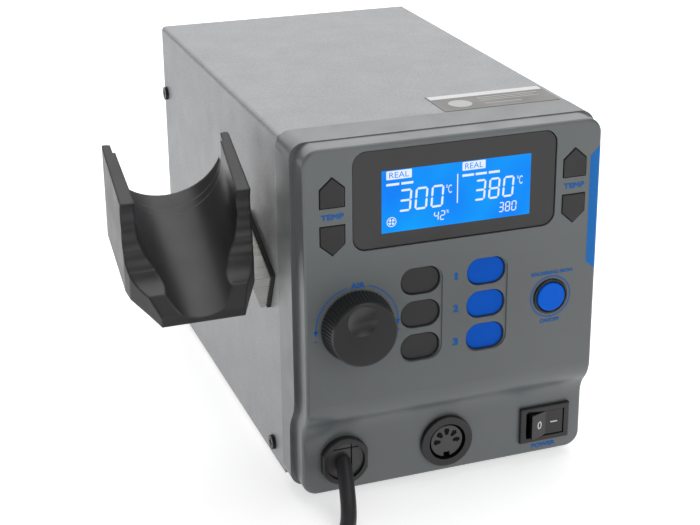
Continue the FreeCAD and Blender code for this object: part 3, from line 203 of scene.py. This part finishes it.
def glowing(name, colour, strength, second_colour=None):
    """A backlit area under clear acrylic, unevenly lit where a second colour is given."""
    material, tree, shader = principled(name, (0.0, 0.004, 0.012), 0.3, Specular_IOR_Level=0.1)
    shader.inputs["Emission Strength"].default_value = strength
    shader.inputs["Emission Color"].default_value = (*colour, 1)
    if second_colour:
        varied(tree, shader.inputs["Emission Color"], noise(tree, 45, 2), colour, second_colour)
    return material


# grained takes, after the colour: roughness, size and depth of the grain in mm, change of tone,
# radius of the edges in mm, and strength of the speckle.
case_paint = grained("case_paint", (0.30, 0.305, 0.32), 0.40, 0.9, 0.06, 0.02, 0.5, 0.16)
bezel_plastic = grained("bezel_plastic", (0.118, 0.130, 0.134), 0.32, 0.35, 0.006, 0.03, 0.35,
                        0.03, Specular_IOR_Level=0.7)
label_film = grained("label_foil", (0.155, 0.150, 0.145), 0.42, 1.2, 0.002, 0.04, 0.1)
cradle_plastic = grained("cradle_plastic", (0.016, 0.016, 0.0175), 0.34, 0.5, 0.006, 0.08, 1.2)
knob_plastic = grained("knob_plastic", (0.018, 0.018, 0.0185), 0.34, 0.4, 0.006, 0.06, 0.15)
black_rubber = grained("black_rubber", (0.017, 0.017, 0.018), 0.45, 0.5, 0.010, 0.08, 0.5)
blue_rubber = grained("blue_rubber", (0.0, 0.105, 0.62), 0.45, 0.5, 0.010, 0.05, 0.5,
                      Specular_IOR_Level=0.1)
blue_cap = grained("blue_cap", (0.0, 0.13, 0.75), 0.32, 0.5, 0.005, 0.04, 0.3,
                   Specular_IOR_Level=0.12)
pane = grained("pane", (0.020, 0.0195, 0.020), 0.16, 1.5, 0.0008, 0.03, 0.2)
gloss_black = grained("gloss_black", (0.010, 0.010, 0.0105), 0.15, 0.8, 0.002, 0.08, 0.4)
nylon_black = grained("nylon_black", (0.016, 0.016, 0.017), 0.36, 0.45, 0.010, 0.08, 0.25)
clamp_grey = grained("clamp_grey", (0.045, 0.046, 0.045), 0.34, 0.5, 0.015, 0.1, 0.3)
insert_grey = grained("insert_grey", (0.060, 0.060, 0.062), 0.40, 0.5, 0.01, 0.1, 0.15)
# Near-black slots on the socket's insert: painted shade that stands in for the shade inside its
# contact holes.
hole_shade_black = grained("hole_shade_black", (0.003, 0.003, 0.003), 0.5, 0.5, 0.01, 0.1, 0.0,
                     Specular_IOR_Level=0.1)
foot_rubber = grained("foot_rubber", (0.02, 0.02, 0.02), 0.7, 0.7, 0.03, 0.1, 0.3)
board_green = grained("board_green", (0.01, 0.09, 0.035), 0.35, 2.5, 0.01, 0.15, 0.1)
ceramic = grained("ceramic", (0.72, 0.69, 0.62), 0.8, 0.6, 0.03, 0.08, 0.2)
tape_yellow = grained("tape_yellow", (0.55, 0.36, 0.05), 0.35, 3.0, 0.02, 0.15, 0.3)
can_blue = grained("can_blue", (0.02, 0.025, 0.12), 0.3, 2.0, 0.004, 0.05, 0.4)
handle_plastic = grained("handle_plastic", (0.036, 0.036, 0.038), 0.5, 0.7, 0.03, 0.08, 0.4)
black_steel = brushed("black_steel", (0.05, 0.05, 0.052), 0.38)
zinc_steel = brushed("zinc_steel", (0.62, 0.62, 0.60), 0.34)
bracket_steel = brushed("bracket_steel", (0.70, 0.70, 0.66), 0.30)
core_steel = brushed("core_steel", (0.16, 0.16, 0.17), 0.45, (1, 1, 30))
aluminium = brushed("aluminium", (0.66, 0.67, 0.69), 0.36)
print_blue = printed("print_blue", (0.0, 0.125, 0.44))
stripe_blue = printed("stripe_blue", (0.0, 0.17, 0.56), 0.38)
print_white = printed("print_white", (0.78, 0.78, 0.78))
screen_blue = glowing("screen_blue", (0.0, 0.36, 1.0), 0.97, (0.0, 0.225, 0.97))
screen_white = glowing("screen_white", (0.86, 0.93, 1.0), 0.95)

# Steel, straw and blue, by the share of the barrel's length from the handle to the nozzle.
HEAT_COLOURS = [(0.0, (0.60, 0.59, 0.57)), (0.55, (0.58, 0.55, 0.49)), (0.78, (0.54, 0.45, 0.32)),
                (0.9, (0.43, 0.36, 0.38)), (1.0, (0.38, 0.39, 0.45))]


def tinted_barrel():
    """Stainless tube, which the heat has coloured towards the nozzle."""
    material = brushed("barrel_steel", HEAT_COLOURS[0][1], 0.30, (12, 1, 1), 0.0002)
    tree = material.node_tree
    shader = tree.nodes["Principled BSDF"]
    low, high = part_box("heater_barrel")
    position = tree.nodes.new("ShaderNodeTexCoord")
    parts = tree.nodes.new("ShaderNodeSeparateXYZ")
    tree.links.new(position.outputs["Object"], parts.inputs["Vector"])
    along = mapped(tree, parts.outputs["X"], 0, 1, low.x, high.x)
    ramp = tree.nodes.new("ShaderNodeValToRGB")
    ramp.color_ramp.elements[0].color = (*HEAT_COLOURS[0][1], 1)
    ramp.color_ramp.elements[1].color = (*HEAT_COLOURS[-1][1], 1)
    for place, colour in HEAT_COLOURS[1:-1]:
        ramp.color_ramp.elements.new(place).color = (*colour, 1)
    tree.links.new(along, ramp.inputs["Fac"])
    tree.links.new(ramp.outputs["Color"], shader.inputs["Base Color"])
    return material


def sheath():
    """Matt silicone sheath, slightly uneven in tone and gloss."""
    material, tree, shader = principled("sheath", (0.022, 0.022, 0.025), 0.5)
    slow = noise(tree, 60, 3)
    tree.links.new(mapped(tree, slow, 0.44, 0.58), shader.inputs["Roughness"])
    varied(tree, shader.inputs["Base Color"], slow, (0.018, 0.018, 0.021), (0.028, 0.028, 0.031))
    bumped(tree, shader, noise(tree, 1500, 3), 0.02)
    return material


def woven():
    """Hook-and-loop tape: a fuzzy weave."""
    material, tree, shader = principled("woven", (0.018, 0.018, 0.02), 0.95, Sheen_Weight=0.4)
    fuzz = noise(tree, 2600, 4, 0.7)
    varied(tree, shader.inputs["Base Color"], fuzz, (0.01, 0.01, 0.011), (0.045, 0.045, 0.05))
    bumped(tree, shader, fuzz, 0.25)
    return material


barrel_steel = tinted_barrel()
sheath_rubber = sheath()

FINISHES = {
    "case_cover": case_paint, "rear_panel": case_paint, "base_tray": zinc_steel,
    "rubber_feet": foot_rubber, "cover_screws": black_steel, "chassis_screws": zinc_steel,
    "mains_inlet": nylon_black, "front_bezel": bezel_plastic, "display_window": pane,
    "lcd_frame": gloss_black, "lcd_glass": gloss_black, "control_board": board_green,
    "key_switches": gloss_black, "iron_button": blue_cap, "iron_button_ring": gloss_black,
    "air_knob": knob_plastic, "encoder_shaft": aluminium, "encoder_body": zinc_steel,
    "lead_gland": nylon_black, "gland_clamp": clamp_grey, "socket_shell": gloss_black,
    "socket_insert": insert_grey, "socket_contacts": zinc_steel, "switch_housing": gloss_black,
    "power_rocker": gloss_black, "main_board": board_green, "heatsink": aluminium,
    "power_triacs": gloss_black, "capacitors": can_blue, "transformer_core": core_steel,
    "transformer_winding": tape_yellow, "cradle": cradle_plastic, "cradle_magnet": zinc_steel,
    # The bracket's pad is black rubber, and its dark edge also stands in for painted shade in the
    # gap between the bracket and the case.
    "cradle_bracket": bracket_steel, "bracket_pad": foot_rubber, "bracket_screws": zinc_steel,
    "handle_upper": handle_plastic, "handle_lower": handle_plastic, "tail_cap": nylon_black,
    "fan_frame": gloss_black, "fan_impeller": gloss_black, "heater_barrel": barrel_steel,
    "heater_core": ceramic, "hot_air_nozzle": barrel_steel, "handpiece_relief": black_rubber,
    "top_label": label_film,
}
for number in (1, 2, 3):
    FINISHES[f"air_preset_{number}"] = black_rubber
    FINISHES[f"iron_preset_{number}"] = blue_rubber
for side in ("air", "iron"):
    for way in ("up", "down"):
        FINISHES[f"{side}_temp_{way}"] = black_rubber


for node, finish in FINISHES.items():
    nodes[node].data.materials.clear()
    nodes[node].data.materials.append(finish)


# ------------------------------------------------------------------ mesh helpers

def piece(name, data, material, body=STATION):
    """A finished piece that rides on a body."""
    made = bpy.data.objects.new(name, data)
    bpy.context.scene.collection.objects.link(made)
    made.data.materials.append(material)
    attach(made, body)
    return made


def mesh_of(name, work):
    """A mesh datablock from a bmesh, smooth where its faces meet gently."""
    data = bpy.data.meshes.new(name)
    work.to_mesh(data)
    work.free()
    for face in data.polygons:
        face.use_smooth = True
    data.set_sharp_from_angle(angle=math.radians(35))
    return data


def solid(name, work, material, body=STATION):
    """A piece from a bmesh, with its faces turned outwards."""
    bmesh.ops.recalc_face_normals(work, faces=work.faces)
    return piece(name, mesh_of(name, work), material, body)


def extruded(work, outline, place, depth):
    """Extrude a flat outline by depth: place turns a 2-D point and a height into a 3-D one."""
    low = [work.verts.new(place(x, z, 0)) for x, z in outline]
    high = [work.verts.new(place(x, z, depth)) for x, z in outline]
    work.faces.new(high)
    work.faces.new(low[::-1])
    count = len(outline)
    for k in range(count):
        after = (k + 1) % count
        work.faces.new((low[k], low[after], high[after], high[k]))


def band(work, inner, outer, place, depth, closed=True):
    """Extrude the strip between two lines of points that run side by side."""
    count = len(inner)
    rows = [[work.verts.new(place(x, z, d)) for x, z in line]
            for line, d in ((inner, 0), (outer, 0), (outer, depth), (inner, depth))]
    for k in range(count if closed else count - 1):
        after = (k + 1) % count
        for first, second in zip(rows, rows[1:] + rows[:1]):
            work.faces.new((first[k], first[after], second[after], second[k]))
    if not closed:
        for k, order in ((0, 1), (count - 1, -1)):
            work.faces.new([row[k] for row in rows][::order])


def ring_points(x, z, half_width, half_height, count):
    """Points round an ellipse."""
    angles = [2 * math.pi * k / count for k in range(count)]
    return [(x + half_width * math.cos(a), z + half_height * math.sin(a)) for a in angles]


def arc_points(x, z, radius, start, end, count):
    """Points on a circle between two angles in degrees."""
    angles = [math.radians(start + (end - start) * k / (count - 1)) for k in range(count)]
    return [(x + radius * math.cos(a), z + radius * math.sin(a)) for a in angles]


def on_face(y):
    """Places a point of the front, at y in mm, with heights towards the viewer."""
    return lambda x, z, d: at(x, y - d, z)


def flat_piece(name, outlines, y, material, depth):
    """One piece made of flat outlines printed on a plane that faces the front."""
    work = bmesh.new()
    for outline in outlines:
        extruded(work, outline, on_face(y), depth)
    return solid(name, work, material)


LETTER_HALF = 0.01  # half of the letters' thickness, as a share of the font's size
LETTER_RAISE = 2  # mm of thickness for one font size
COPY_STEP = 0.006  # mm between the copies that make letters bold, so that none share a plane


def lettering(name, words, x, y, z, width, height, material, bold=0.0):
    """Printed words centred at x, z, facing the front, as wide and as tall as asked, in mm."""
    curve = bpy.data.curves.new(name, "FONT")
    curve.body = words
    curve.align_x = "CENTER"
    curve.align_y = "CENTER"
    curve.size = 1.0
    curve.extrude = LETTER_HALF
    text = bpy.data.objects.new(name, curve)
    bpy.context.scene.collection.objects.link(text)
    bpy.context.view_layer.update()
    mesh = bpy.data.meshes.new_from_object(text)
    bpy.data.objects.remove(text)
    low = [min(v.co[k] for v in mesh.vertices) for k in (0, 1)]
    high = [max(v.co[k] for v in mesh.vertices) for k in (0, 1)]
    centre = [(low[k] + high[k]) / 2 for k in (0, 1)]
    scale = [(size - 2 * bold) / (high[k] - low[k]) for k, size in enumerate((width, height))]
    shifts = [(0, 0)]
    if bold:
        shifts += [(-bold, -bold), (bold, -bold), (bold, bold), (-bold, bold)]
    work = bmesh.new()
    for copy, shift in enumerate(shifts):
        start = len(work.verts)
        work.from_mesh(mesh)
        work.verts.ensure_lookup_table()
        for vertex in work.verts[start:]:
            u, v = [(vertex.co[k] - centre[k]) * scale[k] + shift[k] for k in (0, 1)]
            raised = (vertex.co.z + LETTER_HALF) * LETTER_RAISE + COPY_STEP * copy
            vertex.co = at(x + u, y - raised, z + v)
    bmesh.ops.recalc_face_normals(work, faces=work.faces)
    work.to_mesh(mesh)
    work.free()
    mesh.materials.clear()
    return piece(name, mesh, material)


# ------------------------------------------------------------------ lead

LEAD_DIAMETER, LEAD_LENGTH = 0.006, 1.17

# Points in mm, as at() takes them: from the gland to the coil, and from the coil to the handpiece.
LEAD_ROUTE = [(-42.8, -20.9, 17.0), (-43.4, -25.2, 14.5), (-44.6, -30.6, 10.4),
              (-46.4, -37.6, 5.9), (-50.0, -46.6, 3.4), (-57.4, -55.2, 3.0),
              (-67.6, -60.8, 3.1), (-79.0, -63.0, 3.0)]
TAIL_ROUTE = [(-122.0, -103.0, 9.0), (-122.7, -112.5, 6.6), (-122.2, -122.5, 4.6),
              (-119.6, -132.8, 4.8), (-114.8, -142.9, 7.8), (-107.4, -151.0, 12.1),
              (-98.0, -155.6, 16.2), (-88.0, -156.9, 18.5)]
COIL_MIDDLE = (-85.0, -100.0)
OUTER_TRACK, INNER_TRACK, TRACK_STEP = 37.0, 25.0, 6.0  # radii of the turns, in mm
LOWER, UPPER = 3.0, 9.1  # height of each layer's middle, in mm
TURNS, POINTS_PER_TURN = 5.25, 28


def eased(share):
    share = min(1.0, max(0.0, share))
    return share * share * (3 - 2 * share)


def coil_place(turn):
    """Radius and height: three turns inwards along the table, then outwards on top."""
    if turn < 3:
        inwards = sum(eased((turn - start) / 0.3) for start in (0.7, 1.7))
        climb = eased((turn - 2.72) / 0.28)
        return OUTER_TRACK - TRACK_STEP * inwards, LOWER + (UPPER - LOWER) * climb
    outwards = sum(eased((turn - start) / 0.25) for start in (3.3, 4.3))
    return INNER_TRACK + TRACK_STEP * outwards, UPPER


def coil_turns():
    """Points between the two routes, which hold the coil's first point and its last."""
    points = []
    for k in range(1, int(TURNS * POINTS_PER_TURN)):
        turn = k / POINTS_PER_TURN
        radius, height = coil_place(turn)
        angle = math.radians(90) + 2 * math.pi * turn
        points.append((COIL_MIDDLE[0] + radius * math.cos(angle),
                       COIL_MIDDLE[1] + radius * math.sin(angle), height))
    return points


def make_lead():
    curve = bpy.data.curves.new("lead", "CURVE")
    curve.dimensions = "3D"
    curve.bevel_depth = LEAD_DIAMETER / 2
    curve.bevel_resolution = 6
    curve.use_fill_caps = True
    spline = curve.splines.new("NURBS")
    points = [at(*p) for p in LEAD_ROUTE + coil_turns() + TAIL_ROUTE]
    spline.points.add(len(points) - 1)
    for target, point in zip(spline.points, points):
        target.co = (*point, 1)
    spline.order_u = 3
    spline.use_endpoint_u = True
    spline.resolution_u = 6
    lead = piece("lead", curve, sheath_rubber)
    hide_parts("lead_front", "lead_coil", "lead_tail")
    return lead


def make_tie():
    """A strap around the coil's bundle, with an overlapping end."""
    low, high = COIL_MIDDLE[0] + 23.2, COIL_MIDDLE[0] + 37.4
    corner, bottom, top, thick = 3.2, 1.2, 12.6, 0.9
    width, flap_width = 11.0, 10.4
    corners = [(high - corner, bottom + corner, -90, 0), (high - corner, top - corner, 0, 90),
               (low + corner, top - corner, 90, 180), (low + corner, bottom + corner, 180, 270)]

    def across(strap_width):
        return lambda x, z, d: at(x, COIL_MIDDLE[1] - strap_width / 2 + d, z)

    inner, outer = [], []
    for x, z, start, end in corners:
        inner += arc_points(x, z, corner, start, end, 7)
        outer += arc_points(x, z, corner + thick, start, end, 7)
    inner = [(x, max(z, 0.9)) for x, z in inner]
    outer = [(x, max(z, 0.15)) for x, z in outer]
    work = bmesh.new()
    band(work, inner, outer, across(width), width)
    flap = [(high - corner, top + thick), (low + 1.5, top + thick), (low + 1.5, top + 2 * thick),
            (high - corner, top + 2 * thick)]
    extruded(work, flap, across(flap_width), flap_width)
    strap = solid("tie_strap", work, woven())
    bevel = strap.modifiers.new("soft_edges", "BEVEL")
    bevel.width = 0.25 * MM
    bevel.segments = 2
    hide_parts("coil_tie")
    return strap


lead = make_lead()
tie_strap = make_tie()


# ------------------------------------------------------------------ display

FACE_Y, PANE_Y = -25.6, -25.1  # fronts of the bezel and of its window, in mm
LCD_X, LCD_Z, LCD_WIDTH, LCD_HEIGHT = 0.4, 119.4, 58.2, 23.4
SCREEN_LIFT, MARK_LIFT, MARK_DEPTH = 0.02, 0.04, 0.02  # the screen's layers, in mm

# Shares of the screen, from its upper left corner.
DASHES = [(0.031, 0.115), (0.129, 0.207), (0.5325, 0.611), (0.622, 0.698), (0.711, 0.786)]
DASH_TOP, DASH_BOTTOM = 0.21, 0.248
DIVIDER = (0.498, 0.19, 0.505, 0.66)
# Digits, left, right, top and bottom, then the stroke in mm.
READINGS = [("300", 0.108, 0.404, 0.325, 0.685, 0.78), ("380", 0.612, 0.881, 0.325, 0.668, 0.76),
            ("42", 0.343, 0.418, 0.75, 0.905, 0.38), ("380", 0.783, 0.905, 0.745, 0.91, 0.40)]
BADGES = [("left", 0.031, 0.197), ("right", 0.5325, 0.688)]
BADGE_TOP, BADGE_BOTTOM = 0.012, 0.15


def screen(u, v):
    """A place on the screen, from its upper left corner, as shares of its width and height."""
    return LCD_X + (u - 0.5) * LCD_WIDTH, LCD_Z + (0.5 - v) * LCD_HEIGHT


def screen_box(left, top, right, bottom):
    return [screen(left, bottom), screen(right, bottom), screen(right, top), screen(left, top)]


SEGMENTS = {"0": "abcdef", "2": "abged", "3": "abgcd", "4": "fgbc", "8": "abcdefg"}


LEAN = 0.07


def digit_outlines(figure, x, z, width, height, stroke):
    """The bars of a seven-bar figure, leaning a little, with its lower left corner at x, z."""
    gap, half = stroke * 0.16, stroke / 2
    left, right = half, width - half
    low, mid, high = half, height / 2, height - half
    ends = {"a": ((left, high), (right, high)), "b": ((right, high), (right, mid)),
            "c": ((right, mid), (right, low)), "d": ((left, low), (right, low)),
            "e": ((left, mid), (left, low)), "f": ((left, high), (left, mid)),
            "g": ((left, mid), (right, mid))}
    outlines = []
    for bar in SEGMENTS[figure]:
        start, end = Vector(ends[bar][0]), Vector(ends[bar][1])
        along = (end - start).normalized()
        across = Vector((-along.y, along.x)) * half
        start, end = start + along * gap, end - along * gap
        shape = [start, start + along * half - across, end - along * half - across, end,
                 end - along * half + across, start + along * half + across]
        outlines.append([(x + p.x + LEAN * p.y, z + p.y) for p in shape])
    return outlines


def figures(text, left, right, top, bottom, stroke):
    """Figures side by side between two shares of the screen's width."""
    x0, z0 = screen(left, bottom)
    x1, z1 = screen(right, top)
    count = len(text)
    gap = (x1 - x0) * 0.23 / count
    width = (x1 - x0 - gap * (count - 1)) / count
    outlines = []
    for k, figure in enumerate(text):
        outlines += digit_outlines(figure, x0 + k * (width + gap), z0, width, z1 - z0, stroke)
    return outlines


def rounded_box(left, low, right, high, radius):
    """A box with rounded corners, in mm."""
    return (arc_points(right - radius, low + radius, radius, -90, 0, 6)
            + arc_points(right - radius, high - radius, radius, 0, 90, 6)
            + arc_points(left + radius, high - radius, radius, 90, 180, 6)
            + arc_points(left + radius, low + radius, radius, 180, 270, 6))


def make_display():
    y = PANE_Y - SCREEN_LIFT
    low, high = screen(0, 1), screen(1, 0)
    flat_piece("lcd_area", [rounded_box(*low, *high, 0.3)], y, screen_blue, 0.03)
    y -= MARK_LIFT
    marks = [screen_box(left, DASH_TOP, right, DASH_BOTTOM) for left, right in DASHES]
    marks.append(screen_box(*DIVIDER))
    for reading in READINGS:
        marks += figures(*reading)
    flat_piece("lcd_marks", marks, y, screen_white, MARK_DEPTH)
    for side, left, right in BADGES:
        x0, z0 = screen(left, BADGE_BOTTOM)
        x1, z1 = screen(right, BADGE_TOP)
        flat_piece(f"lcd_badge_{side}", [rounded_box(x0, z0, x1, z1, 0.35)], y, screen_white,
                   MARK_DEPTH)
        lettering(f"lcd_badge_{side}_word", "REAL", (x0 + x1) / 2, y - MARK_DEPTH, (z0 + z1) / 2,
                  (x1 - x0) * 0.78, (z1 - z0) * 0.66, screen_blue)
    for side, u in (("left", 0.444), ("right", 0.926)):
        x, z = screen(u, 0.41)
        lettering(f"lcd_degree_{side}", "°C", x, y, z, 2.2, 3.3, screen_white)
    x, z = screen(0.437, 0.775)
    lettering("lcd_percent", "%", x, y, z, 1.0, 1.2, screen_white)
    make_fan_sign(y)


def make_fan_sign(y):
    """A small fan: a ring round four blades."""
    x, z = screen(0.065, 0.83)
    work = bmesh.new()
    band(work, ring_points(x, z, 1.58, 1.58, 32), ring_points(x, z, 1.86, 1.86, 32), on_face(y),
         MARK_DEPTH)
    for blade in range(4):
        start = 90 * blade + 12
        tip = arc_points(x, z, 1.25, start, start + 58, 6)
        root = arc_points(x, z, 0.3, start + 10, start + 40, 3)
        extruded(work, tip + root[::-1], on_face(y), MARK_DEPTH)
    solid("lcd_fan_sign", work, screen_white)


make_display()


# ------------------------------------------------------------------ printed front

LOWER_FACE_Y = FACE_Y + 6.5
INK = 0.03  # thickness of the printed lines, in mm
KNOB_X, KNOB_Z = -38.3, 73.6
BUTTON_X, BUTTON_Z = 39.3, 73.3

# Piece, words, middle in x, y and z, width, height and boldness, in mm.
WORDS = [
    ("print_temp_left", "TEMP", -47.3, FACE_Y, 116.7, 8.6, 2.1, 0.13),
    ("print_temp_right", "TEMP", 47.3, FACE_Y, 116.7, 8.6, 2.1, 0.13),
    ("print_number_1", "1", 0.4, FACE_Y, 87.2, 1.3, 3.0, 0.2),
    ("print_number_2", "2", 0.4, FACE_Y, 74.3, 2.3, 3.0, 0.2),
    ("print_number_3", "3", 0.4, FACE_Y, 60.9, 2.3, 3.0, 0.2),
    ("print_iron", "SOLDERING IRON", 39.6, FACE_Y, 83.0, 17.2, 1.45, 0.09),
    ("print_on_off", "ON/OFF", 39.3, FACE_Y, 63.5, 8.2, 1.6, 0.09),
    ("print_air", "AIR", -38.0, FACE_Y, 89.4, 5.4, 2.2, 0.13),
    ("print_power", "POWER", 42.1, LOWER_FACE_Y, 6.3, 10.4, 1.9, 0.13),
]


def make_prints():
    for name, words, x, y, z, width, height, bold in WORDS:
        lettering(name, words, x, y, z, width, height, print_blue, bold)
    make_dial()
    work = bmesh.new()
    band(work, ring_points(BUTTON_X, BUTTON_Z, 7.95, 7.95, 60),
         ring_points(BUTTON_X, BUTTON_Z, 8.45, 8.45, 60), on_face(FACE_Y), INK)
    solid("print_button_ring", work, print_blue)


def make_dial():
    """Two arcs round the knob that end in arrowheads, with a minus and a plus."""
    radius, half, sign_drop, sign_long, sign_thin = 15.8, 0.22, 3.9, 1.5, 0.4
    place = on_face(FACE_Y)
    work = bmesh.new()
    for start, end in ((182, 104), (74, 0)):
        band(work, arc_points(KNOB_X, KNOB_Z, radius - half, start, end, 30),
             arc_points(KNOB_X, KNOB_Z, radius + half, start, end, 30), place, INK, closed=False)
    for x in (KNOB_X - radius, KNOB_X + radius):
        arrow = [(x - 1.0, KNOB_Z + 0.3), (x, KNOB_Z - 2.0), (x + 1.0, KNOB_Z + 0.3)]
        extruded(work, arrow, place, INK)
        extruded(work, bar(x, KNOB_Z - sign_drop, sign_long, sign_thin), place, INK)
    plus_upright = bar(KNOB_X + radius, KNOB_Z - sign_drop, sign_thin, sign_long)
    extruded(work, plus_upright, place, INK + 0.01)
    solid("print_dial", work, print_blue)


def bar(x, z, width, height):
    """A plain box outline about its middle."""
    return [(x - width / 2, z - height / 2), (x + width / 2, z - height / 2),
            (x + width / 2, z + height / 2), (x - width / 2, z + height / 2)]


def make_stripe():
    """The blue strip down the right edge, rolled over the bezel's rounded corner."""
    left, bend, side, roll, lift = 53.75, 55.3, 58.0, 1.1, 0.05
    low, high, widest_chamfer = 85.4, 127.4, 3.6
    flat = side - roll
    # A point of the stripe seen from above, and the way out of the bezel there.
    across = [((x, FACE_Y), (0, -1)) for x in (left, bend, flat)]
    for k in range(1, 7):
        angle = math.radians(90 * k / 6)
        out = (math.sin(angle), -math.cos(angle))
        across.append(((flat + roll * out[0], FACE_Y + roll + roll * out[1]), out))
    across.append(((side, FACE_Y + 2.4), (1, 0)))
    work = bmesh.new()
    rows = []
    for (x, y), out in across:
        chamfer = min(widest_chamfer, max(0.0, x - left))
        z_high, z_low = high + chamfer, low - 0.85 * chamfer
        rows.append([work.verts.new(at(x + out[0] * d, y + out[1] * d, z))
                     for z, d in ((z_low, 0), (z_low, lift), (z_high, lift), (z_high, 0))])
    for first, second in zip(rows, rows[1:]):
        for k in range(4):
            after = (k + 1) % 4
            work.faces.new((first[k], second[k], second[after], first[after]))
    work.faces.new(rows[0][::-1])
    work.faces.new(rows[-1])
    solid("side_stripe", work, stripe_blue)


make_prints()
make_stripe()


# ------------------------------------------------------------------ switch marks

LOWER_ROW_Z = 16.4  # height of the gland, the round socket and the switch


def make_rocker_marks():
    """A ring on the raised half and a bar on the half that is pressed in."""
    pivot_x, pivot_y, valley_depth, tilt = 41.8, -18.3, 2.2, math.radians(10)
    valley = Vector((pivot_x + valley_depth * math.sin(tilt),
                     pivot_y - valley_depth * math.cos(tilt)))
    gap, thick = 0.01, 0.05

    def on_half(degrees):
        """Places a point of a half that leaves the valley at an angle seen from above."""
        along = Vector((math.cos(math.radians(degrees)), math.sin(math.radians(degrees))))
        out = Vector((along.y, -along.x))
        if out.y > 0:
            out = -out
        return lambda u, w, d: at(valley.x + along.x * u + out.x * (d + gap),
                                  valley.y + along.y * u + out.y * (d + gap), LOWER_ROW_Z + w)

    ring = bmesh.new()
    band(ring, ring_points(3.4, 0, 0.62, 1.15, 36), ring_points(3.4, 0, 1.12, 1.65, 36),
         on_half(200), thick)
    solid("mark_off", ring, print_white, "rocker")
    dash = bmesh.new()
    extruded(dash, bar(3.6, 0, 3.0, 0.5), on_half(0), thick)
    solid("mark_on", dash, print_white, "rocker")


make_rocker_marks()


# ------------------------------------------------------------------ socket slots, painted shade in their holes

def make_socket_hole_shade():
    """Painted shade: a dark slot round each contact of the round socket, standing in for the shade
    inside its hole, its length towards the middle.
    """
    low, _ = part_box("socket_insert")
    place = on_face(low.y / MM + ORIGIN[1] - 0.01)
    slot = rounded_box(2.5, -0.75, 5.1, 0.75, 0.7)
    work = bmesh.new()
    for contact in range(5):
        angle = math.radians(45 * contact)
        along = (math.cos(angle), math.sin(angle))
        extruded(work, [(along[0] * u - along[1] * v, LOWER_ROW_Z + along[1] * u + along[0] * v)
                        for u, v in slot], place, INK)
    solid("socket_hole_shade", work, hole_shade_black)


make_socket_hole_shade()


# ------------------------------------------------------------------ label on the cover

# Boxes on the label from its near left corner, in mm: left, near, right and far.
HEADER = (0.5, 15.6, 47.5, 20.0)
RULES = [(18.5, 12.6, 44.0, 13.15), (18.5, 10.6, 41.5, 11.15), (18.5, 8.6, 43.0, 9.15),
         (18.5, 4.6, 34.0, 5.15)]


def make_label():
    """A plain header strip, a disc and thin rules on the label, in place of its print."""
    low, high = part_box("top_label")
    top = high.z + 0.02 * MM

    def on_top(x, y, d):
        return Vector((x, y, top + d * MM))

    def box(left, near, right, far):
        return [(low.x + x * MM, low.y + y * MM)
                for x, y in ((left, near), (right, near), (right, far), (left, far))]

    header = bmesh.new()
    extruded(header, box(*HEADER), on_top, 0.03)
    solid("label_header", header, print_white)
    rules = bmesh.new()
    for rule in RULES:
        extruded(rules, box(*rule), on_top, 0.02)
    disc_radius = 4.6 * MM
    disc = ring_points(low.x + 9.5 * MM, low.y + 7.8 * MM, disc_radius, disc_radius, 40)
    extruded(rules, disc, on_top, 0.02)
    solid("label_rules", rules, printed("label_ink", (0.55, 0.55, 0.54)))


make_label()


# ------------------------------------------------------------------ floor and light

FLOOR_HALF, FLOOR_DROP, FLOOR_GLOW = 6, 0.0002, 0.55
WORLD_LIGHT = 0.30

# Name, place, what it points at, size in metres and power in watts.
LIGHTS = [("overhead", (0.15, 0.25, 1.2), (0, 0.05, 0.05), (1.5, 1.0), 9),
          ("back_soft", (0.4, 2.0, 1.1), (0, 0, 0.12), (3.0, 1.4), 17),
          ("front_soft", (0.5, -1.5, 1.1), (0, 0, 0.08), (1.4, 1.0), 6)]


def make_stage():
    floor_data = bpy.data.meshes.new("floor")
    work = bmesh.new()
    bmesh.ops.create_grid(work, x_segments=1, y_segments=1, size=FLOOR_HALF)
    work.to_mesh(floor_data)
    work.free()
    floor = bpy.data.objects.new("floor", floor_data)
    bpy.context.scene.collection.objects.link(floor)
    floor.location.z = -FLOOR_DROP
    material, tree, shader = principled("floor_paper", (0.86, 0.86, 0.86), 0.8)
    shader.inputs["Emission Color"].default_value = (1, 1, 1, 1)
    shader.inputs["Emission Strength"].default_value = FLOOR_GLOW
    bumped(tree, shader, noise(tree, 500, 2), 0.02)
    floor_data.materials.append(material)


def area_light(name, place, target, size, power):
    data = bpy.data.lights.new(name, "AREA")
    data.shape = "RECTANGLE"
    data.size, data.size_y = size
    data.energy = power
    light = bpy.data.objects.new(name, data)
    bpy.context.scene.collection.objects.link(light)
    light.location = place
    light.rotation_euler = (Vector(target) - Vector(place)).to_track_quat("-Z", "Y").to_euler()


def make_light():
    world = bpy.data.worlds.new("studio")
    bpy.context.scene.world = world
    world.use_nodes = True
    background = world.node_tree.nodes["Background"]
    background.inputs["Color"].default_value = (1, 1, 1, 1)
    background.inputs["Strength"].default_value = WORLD_LIGHT
    for light in LIGHTS:
        area_light(*light)


make_stage()
make_light()
bpy.context.scene.view_settings.view_transform = "Standard"
bpy.context.scene.view_settings.look = "None"
